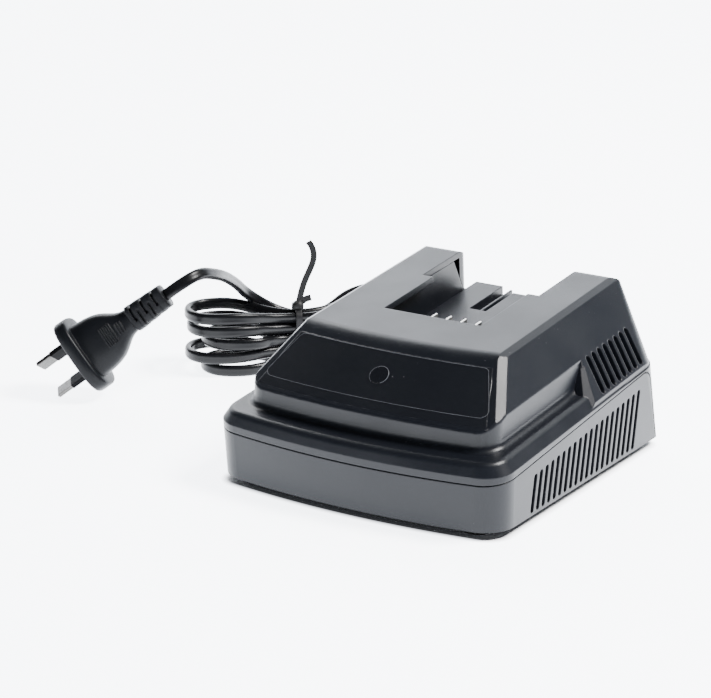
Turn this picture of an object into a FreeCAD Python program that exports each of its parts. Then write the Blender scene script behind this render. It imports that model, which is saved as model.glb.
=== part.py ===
import FreeCAD, Part
import math
import os
from FreeCAD import Vector

# Power tool battery charger with its mains lead tied in a hank. Millimetres, +Z up, front at -Y.
# Origin: middle of the housing's footprint, on the surface that the feet stand on.

# Housing, overall
body_width = 130.0
body_depth = 143.0
foot_height = 3.0
wall = 2.5
deck_slope = 0.0894          # rise of the top per mm towards the rear
deck_front_height = 58.0079  # the top plane above the housing's foremost point
deck_height = deck_front_height + deck_slope * body_depth / 2     # the same at the middle of the depth
corner_radius = 12.1         # front corners, in plan
front_bow = 3.95             # how far the middle of the front stands ahead of its corners
bottom_inset = 0.95          # draft of the lower shell from seam to bottom edge
rear_draft = 1.8             # draft of the rear wall up to the band

# Shoulder: band above the seam, bevel over it and ledge round the tower
band_depth = 33.0            # below the top
ledge_depth = 28.0
bevel_inset = 3.6
bevel_front_inset = 1.5
ledge_fillet = 3.0

# Seam between the two shells
seam_below_band = 3.3079     # at the front
seam_slope = 0.109
seam_rear_inset = 13.4       # where the seam turns down, ahead of the rear
seam_lean = 0.294
seam_radius = 7.0
seam_gap = 0.5
seam_depth = 0.8
seam_front = deck_front_height - foot_height - band_depth - seam_below_band
seam_turn = body_depth - seam_rear_inset

# Tower
tower_side_inset = 9.7       # upright wall at the ledge, in from the housing's side
tower_half = body_width / 2 - tower_side_inset
tower_front = 11.1
tower_bow_radius = 326.4515
tower_corner_margin = 6.16807    # corner radius past the foot of the slanted face's side edge
tower_rear_inset = 33.0
tower_rear = body_depth - tower_rear_inset
top_side_inset = 20.2        # edge of the top before it is chamfered, in from the housing's side
top_half = body_width / 2 - top_side_inset
side_flare = 0.64            # growth of the half width per mm below the top
edge_chamfer_in = 1.8
edge_chamfer_down = 1.4
face_drop = 18.8079          # lower edge of the slanted front face, below the top plane's front
face_height = deck_front_height - foot_height - face_drop
face_front = 11.3
face_angle = 40.3
face_radius = 305.0
brow_radius = 10.0
shoulder_radius = 1.5
corner_cut_front = 1.6
corner_cut_side = 3.2
rear_block_length = 63.4     # from the front of the rear block at the ledge to the rear
post_front = body_depth - rear_block_length
post_lean = 0.72
facet_setback = 7.2          # apex of the facet on the rear block's front corner
facet_drop = 18.66782        # the same apex below the top
facet_reach = 30.0
rear_corner_low = 4.0
rear_corner_high = 15.0
rear_edge_radius = 8.0

# Battery dock
dock_front = 64.5
dock_notch_inset = 40.0      # step from narrow to wide, ahead of the rear
dock_notch = body_depth - dock_notch_inset
lip_half = 22.15
dock_half = 27.15
dock_wall = 2.0
dock_floor_depth = 14.2
gutter_depth = 18.5
tray_thickness = 2.0
dock_floor_inset = 3.6
dock_floor_inset_right = 8.6
dock_floor_rear = body_depth - dock_floor_inset
dock_floor_rear_right = body_depth - dock_floor_inset_right
latch_left = -9.4
latch_right = -1.6
latch_length = 31.8
latch_front = body_depth - latch_length
latch_depth = 3.8
latch_rib = 0.9
dock_end_inset = 15.0        # upper end of the slanted end of the dock's side walls
dock_end_lean = 9.6
dock_end_top = body_depth - dock_end_inset
dock_end_bottom = dock_end_top + dock_end_lean
dock_jamb_length = 10.0
opening_flare = 6.0
dock_clearance = 0.15

# Terminal blades and their block
blade_count = 4
blade_pitch = 6.8
blade_thickness = 0.9
blade_setback = 2.0          # behind the dock's front
blade_length = 19.5
blade_front = dock_front + blade_setback
blade_rear = blade_front + blade_length
blade_top_depth = 7.7
blade_root = 7.0             # length of each blade inside the block
block_half = 16.0
block_margin_front = 0.9     # ahead of the blades
block_margin_rear = 5.0      # behind the blades
block_front = blade_front - block_margin_front
block_rear = blade_rear + block_margin_rear
block_height = 9.0

# Vents
slot_first = 32.3
slot_pitch = 4.49
slot_rear_inset = 11.99      # last slot ahead of the seam's turn
slot_width = 2.6
slot_lean = 0.11
slot_bottom = 1.2
slot_below_seam = 5.3
vent_setback = 11.1          # first vent behind the front of the rear block
vent_first = post_front + vent_setback
vent_rear_inset = 19.4       # last vent ahead of the rear
vent_pitch = 4.7
vent_width = 2.8
vent_top_depth = 16.3
vent_bottom_depth = 30.3
vent_lean = 0.08

# Front overlay and indicator
panel_low = 5.9              # up the slanted face
panel_margin_top = 5.55142  # below the line where the face would meet the top
panel_inset_low = 3.7
panel_inset_high = 2.4
panel_low_half = tower_half - panel_inset_low
panel_high_half = top_half - panel_inset_high
panel_corner = 3.0
panel_thickness = 0.5
panel_gap = 0.2
lens_diameter = 8.0
lens_above_middle = 0.2      # above the middle of the overlay
lens_depth = 3.4
lens_clearance = 0.1
pipe_diameter = 4.6

# Electronics
board_side_inset = 19.3      # inside the tower's upright wall
board_rear_inset = 25.0      # ahead of the housing's rear
board_half = tower_half - board_side_inset
board_front = 22.0
board_rear = body_depth - board_rear_inset
board_thickness = 1.6
board_height = 8.5           # underside above the bottom edge
board_screw_margin = 5.0     # from the board's side
board_screw_inset = 5.5      # from the board's front and rear
board_post = 7.0

# Fastenings and feet
screw_side_inset = 9.3       # inside the tower's upright wall
screw_x = tower_half - screw_side_inset
screw_front = 30.0
screw_rear_inset = 25.5
screw_rear = body_depth - screw_rear_inset
screw_tube = 9.0
screw_head = 6.4
screw_shank = 3.0
screw_length = 20.0
screw_seat = 9.0             # height of the screw heads' seat above the bottom edge
tube_top = 16.0
foot_diameter = 12.0
foot_recess = 0.6
foot_side_inset = 15.0
foot_front = 15.5
foot_rear_inset = 12.5
foot_x = body_width / 2 - foot_side_inset
foot_rear = body_depth - foot_rear_inset

# Mains lead
cord_diameter = 4.4
gland_side_inset = 1.0       # inside the board's left edge
gland_x = gland_side_inset - board_half
gland_height = 17.0
gland_hole = 9.0
gland_collar = 12.0
gland_sleeve = 20.0
gland_tip = 6.6
cord_height = 2.4            # middle of the cord where it lies on the table

# Hank, measured along it, across it and up from the middle of its waist
hank_x = -117.0
hank_y = 75.5
hank_turn = 40.0
loop_count = 5
waist_low = 3.2
waist_pitch = 4.95
waist_half = 2.5
fold_low = 2.6
fold_pitch = 6.0
fold_radius = 12.5
right_low = 2.3
right_pitch = 5.5
run_straight = 34.0
left_reaches = [42.0, 49.0, 41.5, 48.0, 49.0]
right_reaches = [46.5, 50.0, 47.0, 50.5]
last_reach = 52.0
last_radius = 16.0

# Tie
tie_width = 2.7
tie_thickness = 0.7

# Plug
plug_place = Vector(-140.2, 7.4, 46.1)      # where the cord leaves the plug's sleeve
plug_axis = Vector(0.697, 0.367, 0.608)     # from the pins towards the cord
plug_long = Vector(0.629, 0.099, -0.771)
flange_length = 35.0
flange_width = 24.0
flange_thickness = 6.0
plug_body_length = 21.0
plug_sleeve_length = 21.0
plug_waist = 11.0
pin_length = 17.0
pin_spacing = 13.7
pin_width = 6.3
pin_thickness = 1.6
pin_angle = 30.0
pin_cover = 9.0

deck_tilt = math.degrees(math.atan(deck_slope))
face_lean = math.radians(face_angle)
edge_foot_depth = (tower_half - top_half) / side_flare      # where the face's side edge meets the wall
tower_corner = tower_corner_margin + (face_drop - edge_foot_depth) / math.tan(face_lean)
tower_bow = tower_bow_radius - math.sqrt(tower_bow_radius ** 2 - (tower_half - tower_corner) ** 2)
face_rise = math.sin(face_lean) - deck_slope * math.cos(face_lean)
face_length = (face_drop + deck_slope * face_front) / face_rise      # up to the top plane
panel_high = face_length - panel_margin_top
lens_up_face = (panel_low + panel_high) / 2 + lens_above_middle
nodes = {}


# Reference frames

def back(distance):
    """Y of a point that lies this far behind the foremost point of the housing."""
    return distance - body_depth / 2


def up(height):
    """Z of a point above the bottom edge of the lower shell."""
    return height + foot_height


def on_deck(shape):
    """Moves a shape drawn on the flat to the tilted top plane."""
    moved = shape.copy()
    frame = FreeCAD.Placement(Vector(0, 0, deck_height), FreeCAD.Rotation(Vector(1, 0, 0), deck_tilt))
    moved.Placement = frame.multiply(shape.Placement)
    return moved


def deck_y(distance, depth):
    """Y in the deck's own frame of a point behind the front and below the top."""
    tilt = math.radians(deck_tilt)
    return (back(distance) - depth * math.sin(tilt)) / math.cos(tilt)


def top_height(distance):
    """Z of the top plane above a point behind the front."""
    return deck_height + deck_slope * back(distance)


def deck_box(left, right, front, rear, high, low):
    """Box in the deck's frame between two depths."""
    near = deck_y(front, high)
    box = Part.makeBox(right - left, deck_y(rear, high) - near, low - high, Vector(left, near, -low))
    return on_deck(box)


def deck_layer(high, low):
    """Layer between two depths under the top that reaches past the housing on all sides."""
    return deck_box(-body_width, body_width, -body_depth, 2 * body_depth, high, low)


def upright_box(left, right, front, rear, low, high):
    """Box from distances behind the front and heights above the bottom edge."""
    return Part.makeBox(right - left, rear - front, high - low, Vector(left, back(front), up(low)))


def pillar(diameter, x, distance, low, high):
    """Upright cylinder."""
    return Part.makeCylinder(diameter / 2, high - low, Vector(x, back(distance), up(low)))


def mirrored(shape):
    """The same shape on the other side of the middle."""
    return shape.mirror(Vector(0, 0, 0), Vector(1, 0, 0))


def joined(shapes):
    """One solid out of several that touch or overlap."""
    first = shapes[0]
    return first.fuse(shapes[1:]).removeSplitter()


def half_space(point, normal):
    """Large block on the outer side of a plane."""
    size = body_width + body_depth
    block = Part.makeBox(2 * size, 2 * size, size, Vector(-size, -size, 0))
    block.Placement = FreeCAD.Placement(point, FreeCAD.Rotation(Vector(0, 0, 1), normal))
    return block


# Outlines

def bowed_outline(half, front, rear, front_r, rear_r, bow):
    """Closed plan outline with a bowed front, round front corners and round rear corners."""
    chord = half - front_r
    bow_r = (chord * chord + bow * bow) / (2 * bow)
    centre_y = front + bow_r
    corner_y = centre_y - math.sqrt((bow_r - front_r) ** 2 - chord * chord)
    swing = math.atan2(chord, centre_y - corner_y)
    join = Vector(bow_r * math.sin(swing), centre_y - bow_r * math.cos(swing), 0)
    middle = (swing + math.pi / 2) / 2
    corner = Vector(chord + front_r * math.sin(middle), corner_y - front_r * math.cos(middle), 0)
    side_front = Vector(half, corner_y, 0)
    side_rear = Vector(half, rear - rear_r, 0)
    slant = rear_r * math.sqrt(0.5)
    turn = Vector(half - rear_r + slant, rear - rear_r + slant, 0)
    rear_end = Vector(half - rear_r, rear, 0)

    def flip(point):
        return Vector(-point.x, point.y, 0)
    edges = []
    edges.append(Part.Arc(flip(join), Vector(0, front, 0), join).toShape())
    edges.append(Part.Arc(join, corner, side_front).toShape())
    edges.append(Part.makeLine(side_front, side_rear))
    edges.append(Part.Arc(side_rear, turn, rear_end).toShape())
    edges.append(Part.makeLine(rear_end, flip(rear_end)))
    edges.append(Part.Arc(flip(rear_end), flip(turn), flip(side_rear)).toShape())
    edges.append(Part.makeLine(flip(side_rear), flip(side_front)))
    edges.append(Part.Arc(flip(side_front), flip(corner), flip(join)).toShape())
    return Part.Wire(edges)


def deck_outline(half, front, rear, front_r, rear_r, bow, depth):
    """Plan outline on a plane parallel to the top, at a depth below it."""
    wire = bowed_outline(half, deck_y(front, depth), deck_y(rear, depth), front_r, rear_r, bow)
    wire.translate(Vector(0, 0, -depth))
    return on_deck(wire)


def loft(first, second):
    """Straight-ruled solid between two outlines."""
    return Part.makeLoft([first, second], True, True)


def side_profile(points, half=90.0):
    """Solid across the housing from a side view drawn in the deck's frame."""
    corners = [Vector(-half, point[0], point[1]) for point in points]
    face = Part.Face(Part.makePolygon(corners + [corners[0]]))
    return on_deck(face.extrude(Vector(2 * half, 0, 0)))


# Housing shape, used for the outside and, with an inset, for the space inside

def base_block(inset):
    """Lower housing up to the top of the band."""
    half = body_width / 2
    low = bowed_outline(half - bottom_inset - inset, back(bottom_inset + inset), back(body_depth - inset),
                        corner_radius + 0.7 - inset, max(rear_corner_low - inset, 1.0), front_bow)
    low.translate(Vector(0, 0, foot_height + inset))
    high = deck_outline(half - inset, inset, body_depth - rear_draft - inset,
                        corner_radius - inset, rear_corner_high - inset, front_bow,
                        band_depth + 0.4 * inset)
    return loft(low, high)


def bevel_block(inset):
    """Bevel between the band and the ledge."""
    half = body_width / 2 - inset
    rear = post_front + 40.0
    low = deck_outline(half, inset, rear, corner_radius - inset, rear_corner_high - 3 - inset,
                       front_bow, band_depth + 0.4 * inset)
    high = deck_outline(half - bevel_inset, bevel_front_inset + inset, rear - 1,
                        corner_radius - 2 - inset, rear_corner_high - 4 - inset,
                        front_bow + 0.2, ledge_depth + inset)
    return loft(low, high)


def rear_limit(inset):
    """Space under the top plane and ahead of the rear wall, with the rear edge rounded."""
    tilt = math.radians(deck_tilt)
    radius = rear_edge_radius - inset
    corner = (deck_y(body_depth - rear_draft - 0.3 - inset, inset), -inset)
    down = (-math.sin(tilt) - 0.02, -math.cos(tilt))
    size = math.hypot(down[0], down[1])
    down = (down[0] / size, down[1] / size)
    turn = math.acos(down[0])
    reach = radius * math.tan(turn / 2)
    start = Vector(0, corner[0] - reach, corner[1])
    end = Vector(0, corner[0] + reach * down[0], corner[1] + reach * down[1])
    centre = Vector(0, start.y, corner[1] - radius)
    outward = Vector(0, corner[0], corner[1]) - centre
    outward.normalize()
    middle = centre + outward * radius
    foot = Vector(0, end.y + 60 * down[0], end.z + 60 * down[1])
    ahead = -body_depth
    edges = []
    edges.append(Part.makeLine(Vector(0, ahead, corner[1]), start))
    edges.append(Part.Arc(start, middle, end).toShape())
    edges.append(Part.makeLine(end, foot))
    edges.append(Part.makeLine(foot, Vector(0, ahead, foot.z)))
    edges.append(Part.makeLine(Vector(0, ahead, foot.z), Vector(0, ahead, corner[1])))
    face = Part.Face(Part.Wire(edges))
    face.translate(Vector(-body_width, 0, 0))
    return on_deck(face.extrude(Vector(2 * body_width, 0, 0)))


def flared_tower(inset):
    """Tower with flared sides and a rear that turns tighter towards the top."""
    deep = 36.0
    rear = body_depth - rear_draft - 0.3 - inset
    low_radius = 4.5 + 0.385 * deep - inset
    front = -60.0
    low = deck_outline(top_half + side_flare * deep - inset * 1.19, front, rear, 5, low_radius, 5, deep)
    high = deck_outline(top_half - inset * 1.19, front, rear, 5, 4.5 - inset * 0.6, 5, 0)
    sides = loft(low, high)
    outer = body_width / 2 - 0.5 - inset
    plan_low = deck_outline(outer, -30, rear + 0.3, 5, rear_corner_high - inset, 5, band_depth)
    plan_high = deck_outline(outer - 0.2, -30, rear + 0.1, 5, rear_corner_high - inset, 5, -3)
    return sides.common(loft(plan_low, plan_high)).common(rear_limit(inset))


def face_cutter(inset):
    """Everything ahead of the slanted, slightly cylindrical front face."""
    lean = math.radians(face_angle)
    run = Vector(0, math.cos(lean), math.sin(lean))
    inward = Vector(0, math.sin(lean), -math.cos(lean))
    origin = Vector(0, back(face_front), up(face_height)) + inward * inset - run * 12
    side = 80.0
    sag = face_radius - math.sqrt(face_radius ** 2 - side ** 2)
    left = origin + Vector(-side, sag, 0)
    right = origin + Vector(side, sag, 0)
    far_left = Vector(-side, -body_depth, origin.z)
    far_right = Vector(side, -body_depth, origin.z)
    edges = []
    edges.append(Part.Arc(left, origin, right).toShape())
    edges.append(Part.makeLine(right, far_right))
    edges.append(Part.makeLine(far_right, far_left))
    edges.append(Part.makeLine(far_left, left))
    face = Part.Face(Part.Wire(edges))
    return face.extrude(run * 80)


def side_edge_cut(side):
    """Chamfer between the top and one flared side."""
    normal = Vector(side * edge_chamfer_down, 0, edge_chamfer_in + side_flare * edge_chamfer_down)
    return on_deck(half_space(Vector(side * (top_half - edge_chamfer_in), 0, 0), normal))


def face_normal(x):
    """Outward normal of the slanted front face at a place across it."""
    lean = math.radians(face_angle)
    swing = math.asin(x / face_radius)
    across = Vector(math.cos(swing), math.sin(swing), 0)
    normal = across.cross(Vector(0, math.cos(lean), math.sin(lean)))
    normal.normalize()
    return normal


def side_normal():
    """Outward normal of the right flared side."""
    tilt = math.radians(deck_tilt)
    lift = math.atan(side_flare)
    return Vector(math.cos(lift), -math.sin(lift) * math.sin(tilt), math.sin(lift) * math.cos(tilt))


def corner_cut(side):
    """Flat cut along the edge between the slanted front face and one flared side."""
    lean = math.radians(face_angle)
    x = top_half + 5.2
    depth = (x - top_half) / side_flare
    bow = face_radius - math.sqrt(face_radius ** 2 - x ** 2)
    drop = depth / math.cos(math.radians(deck_tilt))
    start = back(face_front) + bow
    height = (deck_height + deck_slope * (start - up(face_height) / math.tan(lean)) - drop)
    height = height / (1 - deck_slope / math.tan(lean))
    corner = Vector(x, start + (height - up(face_height)) / math.tan(lean), height)
    flank = side_normal()
    front = face_normal(x)
    edge = flank.cross(front)
    edge.normalize()
    on_front = front.cross(edge)
    on_side = flank.cross(edge)
    if on_front.x > 0:
        on_front = on_front * -1
    if on_side.y < 0:
        on_side = on_side * -1
    first = corner + on_front * corner_cut_front
    second = corner + on_side * corner_cut_side
    normal = (second - first).cross(edge)
    if normal.dot(flank) < 0:
        normal = normal * -1
    return half_space(Vector(side * first.x, first.y, first.z), Vector(side * normal.x, normal.y, normal.z))


def core_block(inset, low_depth):
    """Upright wall of the tower, ahead of the rear block."""
    low = deck_outline(tower_half + 0.6 - inset, tower_front - 0.3 + inset, tower_rear, tower_corner - inset,
                       4.0, tower_bow, low_depth)
    high = deck_outline(tower_half - 0.4 - inset, tower_front + 0.7 + inset, tower_rear, tower_corner - inset,
                        4.0, tower_bow, -4)
    return loft(low, high)


def on_surface(edge, surface):
    """True when an edge lies on a surface all along."""
    span = edge.LastParameter - edge.FirstParameter
    for share in (0.1, 0.5, 0.9):
        point = Part.Vertex(edge.valueAt(edge.FirstParameter + span * share))
        if point.distToShape(surface)[0] > 0.01:
            return False
    return True


def tower_front_part(core):
    """Front of the tower with its slanted face, chamfers and rounded edges."""
    shape = core.common(flared_tower(0)).cut(face_cutter(0))
    for side in (1, -1):
        shape = shape.cut(corner_cut(side)).cut(side_edge_cut(side))
    brow = []
    for edge in shape.Edges:
        box = edge.BoundBox
        if box.XLength > 1.5 * top_half and box.ZMin > deck_height - 6 and box.YMax < 0:
            brow.append(edge)
    shape = shape.makeFillet(brow_radius, brow)
    walls = Part.Compound([face for face in core.Faces if face.normalAt(0, 0).z < 0.6])
    contour = []
    for edge in shape.Edges:
        box = edge.BoundBox
        rises = box.ZLength > 0.8 * edge.Length
        high = box.ZMin > up(face_height) - 2
        ahead = box.Center.y < back(tower_rear) - 8
        if high and ahead and not rises and on_surface(edge, walls):
            contour.append(edge)
    return shape.makeFillet(shoulder_radius, contour)


def rear_block(inset):
    """Full-width rear of the tower, behind its leaning end walls."""
    foot = (deck_y(post_front + inset, ledge_depth), -ledge_depth)
    low = (foot[0] - post_lean * 32, foot[1] - 32)
    high = (foot[0] + post_lean * 48, foot[1] + 48)
    far = 2 * body_depth
    return flared_tower(inset).common(side_profile([low, (far, low[1]), (far, high[1]), high]))


def facet_cut():
    """Flat facet on the front corner of the rear block, above the ledge."""
    distance = post_front + facet_setback
    apex = Vector(top_half + side_flare * 18.3, back(distance), top_height(distance) - facet_drop)
    cut = half_space(apex, Vector(0.675, -0.451, 0.583))
    near = Vector(tower_half + 0.7, apex.y - facet_reach, apex.z - facet_reach)
    return cut.common(Part.makeBox(facet_reach, 2 * facet_reach, facet_reach, near))


def foot_edges(shape):
    """Edges where the tower's walls rise from the ledge."""
    frame = FreeCAD.Placement(Vector(0, 0, deck_height), FreeCAD.Rotation(Vector(1, 0, 0), deck_tilt))
    inverse = frame.inverse()
    chosen = []
    for edge in shape.Edges:
        span = edge.LastParameter - edge.FirstParameter
        flat = True
        for share in (0.0, 0.3, 0.7, 1.0):
            point = inverse.multVec(edge.valueAt(edge.FirstParameter + span * share))
            if abs(point.z + ledge_depth) > 0.05 or abs(point.x) > tower_half + 1.2:
                flat = False
        if flat:
            chosen.append(edge)
    return chosen


def outer_form():
    """Closed outside of both shells together."""
    core = core_block(0, 40)
    front = tower_front_part(core)
    front = front.common(deck_layer(-wall, ledge_depth + 2.5))
    rear = rear_block(0)
    for side in (1, -1):
        rear = rear.cut(side_edge_cut(side))
    rear = rear.cut(facet_cut()).cut(mirrored(facet_cut()))
    rear = rear.common(deck_layer(-wall, band_depth))
    whole = joined([base_block(0), bevel_block(0), front, rear])
    return whole.makeFillet(ledge_fillet, foot_edges(whole))


def inner_form():
    """Space inside the shells."""
    core = core_block(wall, 44).common(flared_tower(wall)).cut(face_cutter(wall))
    rear = rear_block(wall)
    return joined([base_block(wall), bevel_block(wall), core, rear])


def below_seam(offset):
    """Everything below the seam line, moved along its normal by an offset."""
    line_z = seam_front + seam_slope * seam_turn
    turn = Vector(0, back(seam_turn), up(line_z + offset))
    ahead = Vector(0, -body_depth, turn.z - seam_slope * (back(seam_turn) + body_depth))
    drop = line_z + 10.0
    foot = Vector(0, turn.y + drop * seam_lean + offset, turn.z - drop)
    turn = Vector(0, turn.y + offset, turn.z)
    first = ahead - turn
    first.normalize()
    second = foot - turn
    second.normalize()
    half_angle = math.acos(first.dot(second)) / 2
    reach = seam_radius / math.tan(half_angle)
    start = turn + first * reach
    end = turn + second * reach
    bisector = first + second
    bisector.normalize()
    middle = turn + bisector * (seam_radius / math.sin(half_angle) - seam_radius)
    low = Vector(0, foot.y, foot.z)
    edges = []
    edges.append(Part.makeLine(ahead, start))
    edges.append(Part.Arc(start, middle, end).toShape())
    edges.append(Part.makeLine(end, low))
    edges.append(Part.makeLine(low, Vector(0, ahead.y, low.z)))
    edges.append(Part.makeLine(Vector(0, ahead.y, low.z), ahead))
    face = Part.Face(Part.Wire(edges))
    face.translate(Vector(-body_width, 0, 0))
    return face.extrude(Vector(2 * body_width, 0, 0))


def seam_groove():
    """Thin ring cut into both shells along the seam."""
    ring = below_seam(seam_gap / 2).cut(below_seam(-seam_gap / 2))
    return ring.cut(base_block(seam_depth))


# Openings in the shells

def side_slot(foot_y, foot_z, head_y, head_z, width, near):
    """Round-ended slot through the right side wall, between two points of its middle line."""
    radius = width / 2
    low = Vector(near, foot_y, foot_z)
    high = Vector(near, head_y, head_z)
    along = high - low
    along.normalize()
    low = low + along * radius
    high = high - along * radius
    across = Vector(0, -along.z, along.y) * radius
    edges = []
    edges.append(Part.makeLine(low + across, high + across))
    edges.append(Part.Arc(high + across, high + along * radius, high - across).toShape())
    edges.append(Part.makeLine(high - across, low - across))
    edges.append(Part.Arc(low - across, low - along * radius, low + across).toShape())
    face = Part.Face(Part.Wire(edges))
    return face.extrude(Vector(body_width, 0, 0))


def lower_slots():
    """Rows of slots in both side walls of the lower shell."""
    cuts = []
    span = seam_turn - slot_rear_inset - slot_first
    for index in range(1 + int(span / slot_pitch + 0.01)):
        foot = slot_first + index * slot_pitch
        head_z = seam_front + seam_slope * foot - slot_below_seam
        shift = (head_z - slot_bottom) * slot_lean
        cut = side_slot(back(foot), up(slot_bottom), back(foot + shift), up(head_z), slot_width,
                        body_width / 2 - bottom_inset - wall - 0.8)
        cuts.append(cut)
        cuts.append(mirrored(cut))
    return Part.Compound(cuts)


def upper_vents():
    """Rows of vents in both flared sides of the upper shell."""
    cuts = []
    span = body_depth - vent_rear_inset - vent_first
    for index in range(1 + int(span / vent_pitch + 0.01)):
        foot = vent_first + index * vent_pitch
        foot_z = top_height(foot) - vent_bottom_depth
        head_z = top_height(foot) - vent_top_depth
        shift = (head_z - foot_z) * vent_lean
        cut = side_slot(back(foot), foot_z, back(foot + shift), head_z, vent_width, top_half + 3)
        cuts.append(cut)
        cuts.append(mirrored(cut))
    return Part.Compound(cuts)


def dock_opening(grow):
    """Opening for the battery: narrow between the lips, wide behind them, flared at the rear."""
    front = deck_y(dock_front - grow, 0)
    notch = deck_y(dock_notch, 0)
    rear = deck_y(body_depth - rear_draft - 0.3, 0)
    flare = rear - opening_flare
    far = rear + 20
    lip = lip_half + grow
    wide = dock_half + grow
    out = wide + opening_flare
    turn = opening_flare * (1 - math.sqrt(0.5))
    right = []
    right.append(Vector(lip, front, 0))
    right.append(Vector(lip, notch, 0))
    right.append(Vector(wide, notch, 0))
    right.append(Vector(wide, flare, 0))
    edges = []
    for side in (1, -1):
        points = [Vector(side * point.x, point.y, 0) for point in right]
        for first, second in zip(points, points[1:]):
            edges.append(Part.makeLine(first, second))
        middle = Vector(side * (wide + turn), rear - turn, 0)
        end = Vector(side * out, rear, 0)
        edges.append(Part.Arc(points[-1], middle, end).toShape())
        edges.append(Part.makeLine(end, Vector(side * out, far, 0)))
    edges.append(Part.makeLine(Vector(out, far, 0), Vector(-out, far, 0)))
    edges.append(Part.makeLine(Vector(-lip, front, 0), Vector(lip, front, 0)))
    wire = Part.Wire(Part.sortEdges(edges)[0])
    face = Part.Face(wire)
    face.translate(Vector(0, 0, -gutter_depth))
    return on_deck(face.extrude(Vector(0, 0, gutter_depth + 20)))


def dock_jambs():
    """Solid returns of the upper shell on both sides of the opening's rear end."""
    jamb = deck_box(dock_half, dock_half + opening_flare + wall, body_depth - dock_jamb_length,
                    body_depth + dock_jamb_length, wall / 2, gutter_depth + wall)
    behind = side_profile(dock_end_line(dock_clearance + 0.1))
    jamb = jamb.common(behind).common(rear_block(0)).common(rear_limit(0.1))
    return [jamb, mirrored(jamb)]


def dock_end_line(shift):
    """Side view of everything behind the slanted ends of the dock's side walls."""
    top_depth = 1.5
    high = (deck_y(dock_end_top + shift, top_depth), -top_depth)
    low = (deck_y(dock_end_bottom + shift, gutter_depth), -gutter_depth)
    run = (high[0] - low[0]) / (high[1] - low[1])
    above = (high[0] + run * 20, high[1] + 20)
    below = (low[0] - run * 30, low[1] - 30)
    far = 2 * body_depth
    return [below, (far, below[1]), (far, above[1]), above]


def panel_outline(grow):
    """Outline of the front overlay on the plane of the slanted face, for one prism."""
    low = panel_low - grow
    high = panel_high + grow
    corners = [(-panel_low_half - grow, low), (panel_low_half + grow, low),
               (panel_high_half + grow, high), (-panel_high_half - grow, high)]
    edges = []
    starts = []
    ends = []
    middles = []
    for index in range(4):
        here = Vector(corners[index][0], corners[index][1], 0)
        before = Vector(corners[index - 1][0], corners[index - 1][1], 0) - here
        after = Vector(corners[(index + 1) % 4][0], corners[(index + 1) % 4][1], 0) - here
        before.normalize()
        after.normalize()
        half_angle = math.acos(before.dot(after)) / 2
        reach = panel_corner / math.tan(half_angle)
        bisector = before + after
        bisector.normalize()
        starts.append(here + before * reach)
        ends.append(here + after * reach)
        middles.append(here + bisector * (panel_corner / math.sin(half_angle) - panel_corner))
    for index in range(4):
        edges.append(Part.Arc(starts[index], middles[index], ends[index]).toShape())
        edges.append(Part.makeLine(ends[index], starts[(index + 1) % 4]))
    return Part.Wire(edges)


def on_face(shape):
    """Moves a shape drawn with x across and y up the slanted face, z outward, to its place."""
    moved = shape.copy()
    frame = FreeCAD.Placement(Vector(0, back(face_front), up(face_height)),
                              FreeCAD.Rotation(Vector(1, 0, 0), face_angle))
    moved.Placement = frame.multiply(shape.Placement)
    return moved


def face_skin(depth, grow):
    """Layer of the slanted face inside the overlay's outline, down to a depth."""
    face = Part.Face(panel_outline(grow))
    face.translate(Vector(0, 0, -8))
    prism = on_face(face.extrude(Vector(0, 0, 12)))
    return prism.cut(face_cutter(0)).common(face_cutter(depth))


def lens_hole(grow, depth):
    """Round hole for the indicator window, square to the slanted face."""
    hole = Part.makeCylinder(lens_diameter / 2 + grow, depth + 4, Vector(0, lens_up_face, -depth))
    return on_face(hole)


# Shells

def screw_places():
    """Places of the four housing screws."""
    return [(x, y) for x in (-screw_x, screw_x) for y in (screw_front, screw_rear)]


def foot_places():
    """Places of the four rubber feet."""
    return [(x, y) for x in (-foot_x, foot_x) for y in (foot_front, foot_rear)]


def board_places():
    """Places of the four board screws."""
    x = board_half - board_screw_margin
    rows = (board_front + board_screw_inset, board_rear - board_screw_inset)
    return [(side * x, y) for side in (-1, 1) for y in rows]


def lower_shell(outer, inner):
    """Tray with slots, screw tubes, board posts and recesses for the feet."""
    shell = outer.cut(inner).common(below_seam(0))
    tubes = [pillar(screw_tube, x, y, wall / 2, tube_top) for x, y in screw_places()]
    posts = [pillar(board_post, x, y, wall / 2, board_height) for x, y in board_places()]
    shell = joined([shell] + tubes + posts)
    cuts = [lower_slots(), seam_groove()]
    for x, y in screw_places():
        cuts.append(pillar(screw_head + 0.6, x, y, -1, screw_seat))
        cuts.append(pillar(screw_shank + 0.4, x, y, screw_seat - 1, tube_top + 1))
    for x, y in foot_places():
        cuts.append(pillar(foot_diameter + 0.3, x, y, -1, foot_recess))
    for x, y in board_places():
        cuts.append(pillar(2.6, x, y, board_height - 5, board_height + 1))
    return shell.cut(cuts)


def upper_shell(outer, inner):
    """Cover with the battery opening, vents, screw posts and the holes for window and lead."""
    shell = outer.cut(inner).cut(below_seam(0))
    posts = []
    for x, y in screw_places():
        posts.append(pillar(screw_tube - 1, x, y, tube_top, top_height(body_depth)).common(outer))
    shell = joined([shell] + posts)
    shell = shell.cut([dock_opening(0), upper_vents(), seam_groove()])
    shell = joined([shell] + dock_jambs())
    shell = shell.cut(dock_opening(0))
    cuts = [face_skin(panel_thickness, panel_gap), lens_hole(lens_clearance, 12)]
    for x, y in screw_places():
        cuts.append(pillar(2.6, x, y, tube_top - 1, screw_seat + screw_length + 2))
    cuts.append(Part.makeCylinder(gland_hole / 2, 20, gland_point(-10), Vector(0, 1, 0)))
    return shell.cut(cuts)


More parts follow.
